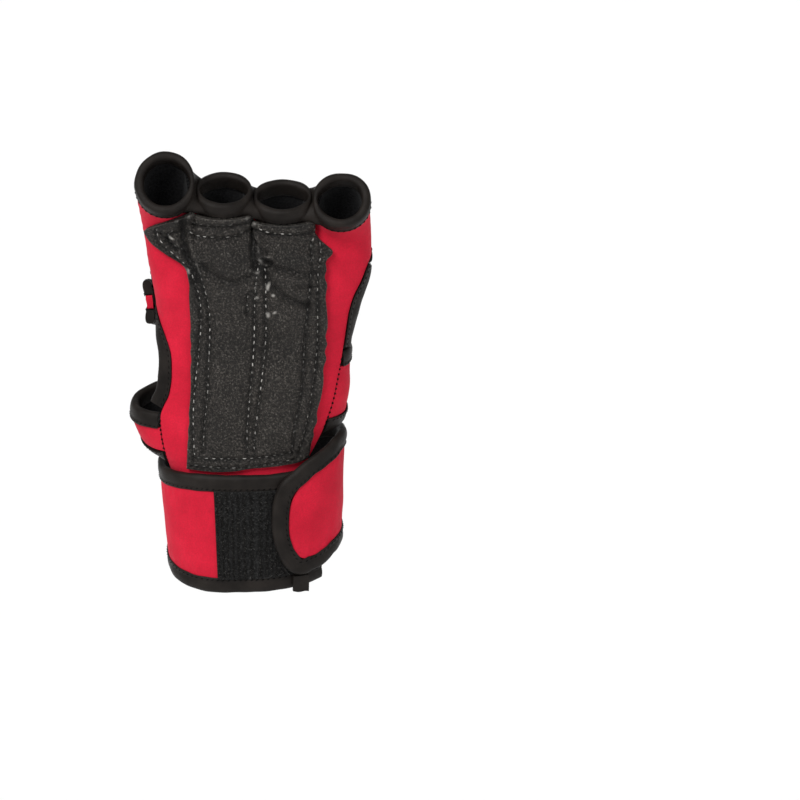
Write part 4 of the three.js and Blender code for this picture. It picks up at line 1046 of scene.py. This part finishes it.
# Bindings
def ring_place(finger, angles):
    """Points of a finger tape's middle line, and the ways out of it, by angle in degrees."""
    _, rise, _ = opening(finger)
    c, s = np.cos(np.radians(angles)), np.sin(np.radians(angles))
    full = (c > 0) & (s > 0) & (finger["name"] == "pinky")
    c, s = (np.where(full, np.abs(k) ** FULL_CORNER, k) for k in (c, s))
    centre = np.array([finger["x"], finger["y"], finger["z"]])
    points = centre + np.outer(c * finger["half_width"], [1, 0, 0]) + np.outer(s * finger["half_depth"], rise)
    normals = unit(np.outer(c / finger["half_width"], [1, 0, 0]) + np.outer(s / finger["half_depth"], rise))
    return points, normals


def finger_bindings():
    for i, finger in enumerate(FINGERS):
        angles = np.linspace(0, 360, 151)[:-1]
        c = np.cos(np.radians(angles))
        points, normals = ring_place(finger, angles)
        free = ((i == 0) & (c < 0)) | ((i == 3) & (c > 0))
        squeeze = np.where(free, 0, np.abs(c) ** 6)
        thick = TAPE_HALF_THICKNESS - (TAPE_HALF_THICKNESS - WEB_TAPE_HALF_THICKNESS) * squeeze
        name = finger["name"] + "_binding"
        under_pad = (i in (1, 2)) * (np.sin(np.radians(angles)) < 0)
        lap = np.clip(1 - 1.6 * squeeze, 0, 1) * np.where(under_pad, 0.3, 1)
        axis = opening(finger)[0]
        obj = tape_object(name + "_tape", points, normals, -axis, 10 + i, True, thick, lap=lap)
        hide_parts(name)


def finger_webs():
    """Tape cloth that fills the corner between two neighbouring finger tapes, before and behind."""
    course = table("share around drop out", [
        (0.0, -2, -0.2, 0.0),
        (0.1, 12, -0.5, 0.3),
        (0.25, 24, -0.55, 0.75),
        (0.5, 40, -0.2, 0.95),
        (0.7, 52, 0.3, 1.0),
        (0.85, 58, 0.85, 0.95),
        (1.0, 62, 1.3, 0.8),
    ])
    share = np.linspace(0, 1, 22)
    around, drop, out = (read(course, share, k) for k in ("around", "drop", "out"))
    for i in range(3):
        for side, suffix in ((-1, "palm"), (1, "back")):
            sides = []
            for finger, angles in ((FINGERS[i], side * around), (FINGERS[i + 1], 180 - side * around)):
                points, normals = ring_place(finger, angles)
                axis = opening(finger)[0]
                points = points - axis * (drop * TAPE_HALF_WIDTH)[:, None]
                sides.append(points + normals * (out * (TAPE_HALF_THICKNESS - 0.5))[:, None])
            t = np.linspace(0, 1, 13)[None, :, None]
            grid = sides[0][:, None] * (1 - t) + sides[1][:, None] * t
            normals = grid_normals(grid)
            facing = np.sign(np.sum(normals[..., 1]) * side)
            normals = normals * (facing if facing else 1.0)
            sag = 0.9 * np.sin(np.pi * t[..., 0]) * share[:, None]
            outer = grid - normals * sag[..., None]
            flip = float(np.mean(grid_normals(grid)[..., 1])) * side < 0
            name = f"{FINGERS[i]['name']}_{FINGERS[i + 1]['name']}_web_{suffix}"
            obj = wall_object(name, outer, outer - normals * WEB_CLOTH, [TAPE, TAPE], flip)


def angle_along(angle, z, length, sign):
    """Angle reached by going a length round a level section from an angle."""
    step, at, gone = 0.25, float(angle), 0.0
    while gone < length:
        here = section(FORM, at, z)
        at += sign * step
        gone += float(np.linalg.norm(here - section(FORM, at, z)))
    return at


def form_normal(angle, z):
    along = section(FORM, angle + 1, z) - section(FORM, angle - 1, z)
    up = section(FORM, angle, z + 0.4) - section(FORM, angle, z - 0.4)
    return unit(np.cross(along, up))


def side_binding(node_name, side, sign, span, seed):
    """Tape on the palm panel's left or right edge, from one height to another."""
    heights = np.linspace(*span, int((span[1] - span[0]) / 0.7))
    room = TAPE_HALF_WIDTH + GAP + 1.5 * TAPE_ROOM
    starts = panel_angle(heights, side)
    edge = section(FORM, starts, heights)
    slant = np.linalg.norm(np.gradient(edge, heights, axis=0), axis=-1)
    angles = np.array([angle_along(a, z, room * k, sign) for a, z, k in zip(starts, heights, slant)])
    normals = form_normal(angles, heights)
    points = section(FORM, angles, heights) - normals * WALL / 2
    obj = tape_object(node_name + "_tape", points, normals, edge - points, seed)
    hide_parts(node_name)


def back_edge_binding():
    u = np.linspace(*BACK_TAPE_COLUMNS, 133)
    foot = band_foot(u)
    along = back(u + 0.004, foot) - back(u - 0.004, foot)
    normals = -unit(np.cross(along, back(u, foot + 0.4) - back(u, foot - 0.4)))
    edge = back(u, foot)
    run = np.gradient(edge, axis=0)
    away = unit(np.cross(run, normals))
    away *= np.sign(-away[:, 2:3])
    points = edge + away * (TAPE_HALF_WIDTH + GAP + TAPE_ROOM / 2) - normals * WALL / 2
    obj = tape_object("back_edge_binding_tape", points, normals, -away, 31)
    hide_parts("back_edge_binding")


# Back strap
STRAP_TRIM = 2 * TAPE_HALF_WIDTH + GAP + STRAP_ROOM


def lifted(point, depth_share, lift):
    """Points moved level and away from the form's middle by a lift."""
    flat = np.stack([point[..., 0] - CENTRE_X, point[..., 1] * depth_share, np.zeros(point.shape[:-1])], -1)
    return point + unit(flat) * np.asarray(lift)[..., None]


def normal_at(place, turn, z, lift):
    along = place(turn + 1, z, lift) - place(turn - 1, z, lift)
    up = place(turn, z + 0.5, lift) - place(turn, z - 0.5, lift)
    return unit(np.cross(along, up))


def strap_point(turn, z, lift):
    return lifted(section(FORM, turn, z), 1.6, lift)


def strap_normal(turn, z, lift):
    return normal_at(strap_point, turn, z, lift)


def seam_turn(z, side):
    """Turn at which the strap meets the palm panel's left or right edge."""
    off = (GAP + 0.1) / BACK_MM_PER_DEGREE
    angle = panel_angle(z, side)
    return angle + off if side == "right" else 360 + angle - off


def strap_height(turn, column):
    return read(BACK_STRAP, turn, column)


def fork_middle(turn):
    return (strap_height(turn, "fork_low") + strap_height(turn, "fork_high")) / 2


def fork_half(turn, trim):
    """Half of the fork's opening, widened by trim, with its rounded start."""
    end = FORK_TURN + FORK_ROUND_TURN
    at = np.maximum(turn, end)
    half = (strap_height(at, "fork_high") - strap_height(at, "fork_low")) / 2 + trim
    share = np.clip((end - turn) / FORK_ROUND_TURN, 0, 1)
    return half * np.sqrt(np.maximum(0, 1 - share * share))


def arm_height(turn, row, upper):
    if upper:
        low, high = fork_middle(turn) + fork_half(turn, STRAP_TRIM), strap_height(turn, "high") - STRAP_TRIM
    else:
        low, high = strap_height(turn, "low") + STRAP_TRIM, fork_middle(turn) - fork_half(turn, STRAP_TRIM)
    return low + (high - low) * row


def arm_lift(turn, upper):
    return strap_height(turn, "lift") if upper else np.zeros(np.shape(turn))


def back_strap():
    """Two strips that share their middle row up to the fork."""
    half_rows = 8
    share = np.linspace(0, 1, 60)
    round_turns = FORK_TURN + FORK_ROUND_TURN * (1 - np.cos(np.radians(np.linspace(0, 90, 11)[1:])))
    last = FORK_TURN + FORK_ROUND_TURN
    first_guess, last_guess = 62, STRAP_SEAM_TURNS[1]
    arm_share = np.linspace(0, 1, 56)[1:]
    strips = []
    for upper in (False, True):
        rows = []
        for row in np.linspace(0, 1, half_rows + 1):
            turn = first_guess + (FORK_TURN - first_guess) * share
            for _ in range(4):
                z = arm_height(turn, row, upper)
                turn = seam_turn(z, "right") * (1 - share) + FORK_TURN * share
            arm = last + (last_guess - last) * arm_share
            for _ in range(4):
                z = arm_height(arm, row, upper)
                end = UPPER_ARM_END_TURN if upper else seam_turn(z, "left")
                arm = last + (end - last) * arm_share
            turns = np.concatenate([turn, round_turns, arm])
            z = arm_height(turns, row, upper)
            lift = arm_lift(turns, upper) * (turns > FORK_TURN)
            rows.append((strap_point(turns, z, lift), strap_normal(turns, z, lift)))
        strips.append((np.stack([r[0] for r in rows]), np.stack([r[1] for r in rows])))
    trunk = len(share)
    outer, inner, quads = [], [], []
    index = {}

    def vertex(strip, row, column):
        shared = strip == 1 and row == 0 and column < trunk
        same = (0, half_rows, column) if shared else (strip, row, column)
        if same not in index:
            index[same] = len(outer)
            s, r, c = same
            points, normals = strips[s]
            edge = min(r, half_rows - r) if c >= trunk else (half_rows - r if s else r)
            bump = 0.25 * float(smooth_noise(c * 0.12, (r + 9 * s) * 0.5, 8)) * min(1.0, edge / 2)
            outer.append(points[r, c] + normals[r, c] * bump)
            inner.append(points[r, c] - normals[r, c] * WALL)
        return index[same]

    for s in (0, 1):
        for r in range(half_rows):
            for c in range(strips[s][0].shape[1] - 1):
                corners = ((r, c), (r, c + 1), (r + 1, c + 1), (r + 1, c))
                quads.append(tuple(vertex(s, *corner) for corner in corners))
    count = len(outer)
    edges = {(q[i], q[(i + 1) % 4]) for q in quads for i in range(4)}
    open_edges = sorted((p, q) for p, q in edges if (q, p) not in edges)
    faces = quads + [tuple(k + count for k in q[::-1]) for q in quads]
    faces += [(q, p, p + count, q + count) for p, q in open_edges]
    slots = [0] * len(quads) + [1] * len(quads) + [0] * len(open_edges)
    vertices = np.array(outer + inner)
    angle = np.arctan2(vertices[:, 1] * 1.6, vertices[:, 0])
    uv = np.stack([angle * 0.32, vertices[:, 2] * UV_PER_MM], -1)
    sharp = open_edges + [(p + count, q + count) for p, q in open_edges]
    obj = new_object("back_strap_shell", vertices, faces, [RED, LINING], slots, uv, sharp)
    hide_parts("back_strap")
    area = sum(p.area for p in obj.data.polygons[:len(quads)])
    middle = strips[1][0][0]
    height = float(np.ptp(np.array(outer)[:, 2]))
    length = float(np.linalg.norm(np.diff(middle, axis=0), axis=-1).sum())
    return obj, (length * MM, height * MM), area


def seam_cut(z, side):
    """Direction in which a tape's end is cut where it meets the palm panel's edge."""
    high = strap_point(seam_turn(z + TAPE_HALF_WIDTH, side), z + TAPE_HALF_WIDTH, 0.0)
    low = strap_point(seam_turn(z - TAPE_HALF_WIDTH, side), z - TAPE_HALF_WIDTH, 0.0)
    return (high - low) / (2 * TAPE_HALF_WIDTH)


def strap_tape(node_name, turns, z, lift, inward, seams, seed):
    normals = strap_normal(turns, z, lift)
    points = strap_point(turns, z, lift) - normals * WALL / 2
    ends = [seam_cut(z[i], side) if side else None for i, side in zip((0, -1), seams)]
    obj = tape_object(node_name + "_tape", points, normals, inward, seed, ends=ends)
    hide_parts(node_name)


def back_strap_bindings():
    half = TAPE_HALF_WIDTH
    end = FORK_TURN + FORK_ROUND_TURN
    first, last = STRAP_SEAM_TURNS
    start = float(seam_turn(strap_height(first, "high") - half, "right")) + CRESCENT_ROOM_TURN
    turns = np.linspace(start, UPPER_ARM_END_TURN, 190)
    up = np.array([[0, 0, 1.0]])
    strap_tape("back_strap_top_binding", turns, strap_height(turns, "high") - half,
               arm_lift(turns, True), -up, (None, None), 41)
    start = float(seam_turn(strap_height(first, "low") + half, "right")) + SEAM_ROOM_TURN
    stop = float(seam_turn(strap_height(last, "low") + half, "left")) - SEAM_ROOM_TURN
    turns = np.linspace(start, stop, 220)
    strap_tape("back_strap_bottom_binding", turns, strap_height(turns, "low") + half, turns * 0, up,
               ("right", "left"), 42)
    reach = FORK_ROUND_TURN - (half + GAP) / BACK_MM_PER_DEGREE
    top = np.linspace(UPPER_ARM_END_TURN, end, 80)[:-1]
    a = np.radians(np.linspace(90, -90, 30))
    bend = end - reach * np.cos(a)
    stop = float(seam_turn(fork_middle(last) - fork_half(last, half), "left")) - SEAM_ROOM_TURN
    low = np.linspace(end, stop, 110)[1:]
    turns = np.concatenate([top, bend, low])
    z = np.concatenate([fork_middle(top) + fork_half(top, half),
                        fork_middle(bend) + fork_half(np.array(end), half) * np.sin(a),
                        fork_middle(low) - fork_half(low, half)])
    lift = np.concatenate([arm_lift(top, True), np.zeros(len(bend) + len(low))])
    inward = np.outer(np.concatenate([np.ones(len(top)), np.sin(a), -np.ones(len(low))]), up)
    strap_tape("back_strap_fork_binding", turns, z, lift, inward, (None, "left"), 43)


def strap_seams():
    """Closely set black threads over the seams between the strap's ends and the palm panel."""
    for name, side, low, high, seed in (
        ("thumb_seam_stitches", "left", 52.0, 72.5, 81),
        ("pinky_seam_stitches", "right", 66.5, 96.0, 82),
    ):
        z = np.linspace(low, high, 60)
        middle = panel_angle(z, side) + (0.35 if side == "right" else -0.35)
        points, normals = section(FORM, middle, z), form_normal(middle, z)
        pitch, length, radius, loose = 2.0, 1.4, 0.42, 0.12
        rows = [(points + normals * 0.05, normals, pitch, length, radius, seed, loose)]
        stitch_object(name, rows, BLACK_THREAD)


# Wrist strap, its turns running against the sections' angles
def wrist_point(turn, z, lift):
    return lifted(section(WRIST, -np.asarray(turn), z), 1.5, lift)


def wrist_normal(turn, z, lift):
    return -normal_at(wrist_point, turn, z, lift)


def wrist_lift(turn):
    return read(WRIST_COURSE, turn, "lift")


def wrist_edge(turn, upper, inset):
    """Upper or lower outline before the rounded end, drawn in square to itself by inset."""
    turn = np.asarray(turn, float)
    column = "high" if upper else "low"
    at = read(WRIST_COURSE, turn, column)
    lift = wrist_lift(turn)
    run = np.linalg.norm(wrist_point(turn + 1, at, lift) - wrist_point(turn - 1, at, lift), axis=-1)
    rise = read(WRIST_COURSE, turn + 1, column) - read(WRIST_COURSE, turn - 1, column)
    return at + (-1 if upper else 1) * inset * np.hypot(1, rise / run)


def strap_middle(turn):
    return (read(WRIST_COURSE, turn, "low") + read(WRIST_COURSE, turn, "high")) / 2


D_TURNS = D_START_TURN + np.arange(0, 60, 0.2)
D_LENGTHS = run_lengths(wrist_point(D_TURNS, strap_middle(D_TURNS), wrist_lift(D_TURNS)))


def round_end(share, side, inset):
    """Rounded end: share runs 0 to 1 along it and side -1 to 1 across it, drawn in by inset."""
    turn = np.interp(share * (D_LENGTH - inset), D_LENGTHS, D_TURNS)
    low, high = wrist_edge(D_START_TURN, False, inset), wrist_edge(D_START_TURN, True, inset)
    drift = strap_middle(turn) - strap_middle(D_START_TURN)
    return turn, (low + high) / 2 + drift + side * (high - low) / 2


STRAP_SEAM_FADE = 2.2


def wrist_strap():
    inset = 2 * TAPE_HALF_WIDTH + GAP + TAPE_ROOM
    straight = np.linspace(STRAP_START_TURN, D_START_TURN, 300)
    share = np.sin(np.radians(np.linspace(0, 86, 30)[1:]))
    drawn = inset + D_ROOM * share
    end_turn, end_low = round_end(share, -(1 - share ** D_POWER_BELOW) ** (1 / D_POWER_BELOW), drawn)
    _, end_high = round_end(share, (1 - share ** D_POWER_ABOVE) ** (1 / D_POWER_ABOVE), drawn)
    turns = np.concatenate([straight, end_turn])
    low = np.concatenate([wrist_edge(straight, False, inset), end_low])
    high = np.concatenate([wrist_edge(straight, True, inset), end_high])
    grid_t, grid_r = np.meshgrid(turns, np.linspace(0, 1, 50))
    z = low + (high - low) * grid_r
    lift = wrist_lift(grid_t)
    points, normals = wrist_point(grid_t, z, lift), wrist_normal(grid_t, z, lift)
    along, across = edge_lengths(points)
    arc = np.broadcast_to(run_lengths(points[25]), grid_t.shape)
    free = 1 - bell(np.minimum(along, across), STRAP_SEAM_FADE)
    relief = SWELL * smooth_noise(arc / 8, z / 9, 6) + FINE_SWELL * smooth_noise(arc / 3, z / 3.2, 7)
    crown = 0.5 * (1 - np.abs(2 * grid_r - 1) ** 4)
    outer = points + normals * ((relief + puckers(across, arc, 4) + crown - 0.15) * free)[..., None]
    obj = wall_object("wrist_strap_shell", outer, points - normals * WALL, [RED, LINING], True)
    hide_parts("wrist_strap")
    return obj, points


def wrist_strap_binding():
    inset = TAPE_HALF_WIDTH
    straight = np.linspace(STRAP_START_TURN, D_START_TURN, 330)[:-1]
    a = np.radians(np.linspace(90, -90, 90))
    s, c = np.sin(a), np.maximum(0, np.cos(a))
    power_here = np.where(s > 0, D_POWER_ABOVE, D_POWER_BELOW)
    turn, height = round_end(c ** (2 / power_here), np.sign(s) * np.abs(s) ** (2 / power_here), inset)
    turns = np.concatenate([straight, turn, straight[::-1]])
    z = np.concatenate([wrist_edge(straight, True, inset), height, wrist_edge(straight[::-1], False, inset)])
    lift = wrist_lift(turns)
    normals = wrist_normal(turns, z, lift)
    points = wrist_point(turns, z, lift) - normals * WALL / 2
    inside = np.minimum(turns, D_START_TURN - 4)
    middle = wrist_point(inside, strap_middle(inside), lift)
    lap = np.ones(len(turns))
    lap[len(straight):len(straight) + len(a)] += 0.7 * bell(np.degrees(a) + 65, 28)
    obj = tape_object("wrist_strap_binding_tape", points, normals, middle - points, 51, lap=lap)
    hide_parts("wrist_strap_binding")


def wrist_patch(name, node_name, turns, low, high, start, end, materials, rows=12):
    """Patch laid on the wrist strap, from start to end over it in millimetres."""
    grid_t, grid_r = np.meshgrid(turns, np.linspace(0, 1, rows))
    z = low + (high - low) * grid_r
    points, normals = wrist_point(grid_t, z, grid_t * 0), wrist_normal(grid_t, z, grid_t * 0)
    outer = points + normals * end
    obj = wall_object(name, outer, points + normals * start, materials, True)
    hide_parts(node_name)
    return obj, outer


def loop_field():
    inset = 2 * TAPE_HALF_WIDTH + 2 * GAP
    turns = np.linspace(*LOOP_FIELD_TURNS, 90)
    low, high = wrist_edge(turns, False, inset), wrist_edge(turns, True, inset)
    ground = wrist_patch("loop_field_ground", "loop_field", turns, low, high, 0.1, GAP + LOOP_THICKNESS,
                         [LOOP, LOOP], 60)
    loop_pile(inset)
    return ground


# Nap: how many hairs, their foot's radius, and the ranges of their length and lean
HAIRS = 15000
HAIR_RADIUS = 0.13
HAIR_LENGTHS = (0.35, 1.05)
HAIR_LEANS = (0.1, 0.9)


def loop_pile(inset):
    """The field's nap: short hairs in upright rows, leaning every way."""
    rng = np.random.default_rng(71)
    count = HAIRS
    line = rng.integers(0, PILE_ROWS, count) + rng.normal(0, 0.17, count)
    start, end = LOOP_FIELD_TURNS
    turn = start + (end - start) * np.clip((line + 0.5) / PILE_ROWS, 0.01, 0.99)
    low, high = wrist_edge(turn, False, inset), wrist_edge(turn, True, inset)
    z = low + (high - low) * rng.uniform(0.012, 0.988, count)
    out = wrist_normal(turn, z, 0 * turn)
    base = wrist_point(turn, z, 0 * turn) + out * (GAP + LOOP_THICKNESS - 0.15)
    run = unit(np.cross(out, [0, 0, 1.0]))
    up = np.cross(run, out)
    lean, way = rng.uniform(*HAIR_LEANS, count), rng.uniform(0, 2 * math.pi, count)
    height = rng.uniform(*HAIR_LENGTHS, count)

    def sideways(angle):
        return run * np.cos(angle)[:, None] + up * np.sin(angle)[:, None]

    feet = [base + sideways(way + k * 2 * math.pi / 3) * HAIR_RADIUS for k in range(3)]
    tip = base + out * height[:, None] + sideways(way) * (lean * height)[:, None]
    vertices = np.stack([*feet, tip], 1)
    first = np.arange(count)[:, None, None] * 4
    faces = (first + np.array([(0, 2, 1), (0, 1, 3), (1, 2, 3), (2, 0, 3)])).reshape(-1, 3)
    pile = new_object("loop_field_pile", vertices.reshape(-1, 3), faces.tolist(), [NAP])


def binding_tail():
    """Small tail of tape below the D, its lower end slanted and a little uneven."""
    turns = np.linspace(TAIL_TURNS[0] - 360, TAIL_TURNS[1] - 360, 18)
    low = TAIL_Z[0] + 0.2 * np.sin(np.linspace(0, 7, 18)) + 0.385 * np.linspace(-1, 1, 18)
    wrist_patch("binding_tail_tape", "binding_tail", turns, low, TAIL_Z[1], 2.0, 3.1,
                [TAPE, TAPE])


def build():
    palm_shell, palm_grid = palm_panel()
    band_shell, band_grid = finger_back_band()
    pad = grip_pad()
    finger_bindings()
    finger_webs()
    side_binding("thumb_binding", "left", -1, THUMB_TAPE_Z, 21)
    side_binding("pinky_side_binding", "right", 1, PINKY_SIDE_TAPE_Z, 22)
    back_edge_binding()
    strap_shell, strap_flat, strap_area = back_strap()
    back_strap_bindings()
    strap_seams()
    wrist_shell, wrist_grid = wrist_strap()
    wrist_strap_binding()
    field, field_grid = loop_field()
    binding_tail()


# Floor in metres, and the camera: distance, the place that it looks at, lens and sensor
FLOOR_HALF_SIZE = 8.0
FLOOR_Z = -0.45
VIEW_DISTANCE = 4.0
VIEW_TARGET = (0.0588, 0.0, 0.0732)
LENS = 450
SENSOR = 36


def studio():
    scene = bpy.context.scene
    floor_mesh = bpy.data.meshes.new("floor")
    s, z = FLOOR_HALF_SIZE, FLOOR_Z
    floor_mesh.from_pydata([(-s, -s, z), (s, -s, z), (s, s, z), (-s, s, z)], [], [(0, 1, 2, 3)])
    floor = bpy.data.objects.new("floor", floor_mesh)
    scene.collection.objects.link(floor)
    floor_mesh.materials.append(nodes_of("pale_floor", (0.95, 0.95, 0.95), 0.95, 0.0)[0])
    world = bpy.data.worlds.new("studio")
    scene.world = world
    world.use_nodes = True
    background = world.node_tree.nodes["Background"]
    feed(world.node_tree, background, {"Color": WHITE, "Strength": WORLD_STRENGTH})
    for name, come_from, spread, energy in LAMPS:
        light = bpy.data.lights.new(name, "SUN")
        light.energy = energy
        light.angle = math.radians(spread)
        lamp = bpy.data.objects.new(name, light)
        lamp.rotation_euler = (-Vector(come_from)).to_track_quat("-Z", "Y").to_euler()
        scene.collection.objects.link(lamp)
    scene.view_settings.view_transform = "Standard"
    scene.view_settings.look = "None"


def camera():
    """Photograph's view: before the palm, looking down on it, long lens, glove left of the middle."""
    elevation = math.radians(VIEW_DOWN)
    data = bpy.data.cameras.new("camera")
    data.lens = LENS
    data.sensor_width = SENSOR
    data.clip_end = 20
    cam = bpy.data.objects.new("camera", data)
    bpy.context.scene.collection.objects.link(cam)
    ahead = Vector((0, math.cos(elevation), -math.sin(elevation)))
    cam.location = Vector(VIEW_TARGET) - ahead * VIEW_DISTANCE
    cam.rotation_euler = ahead.to_track_quat("-Z", "Y").to_euler()
    bpy.context.scene.camera = cam


camera()
build()
studio()
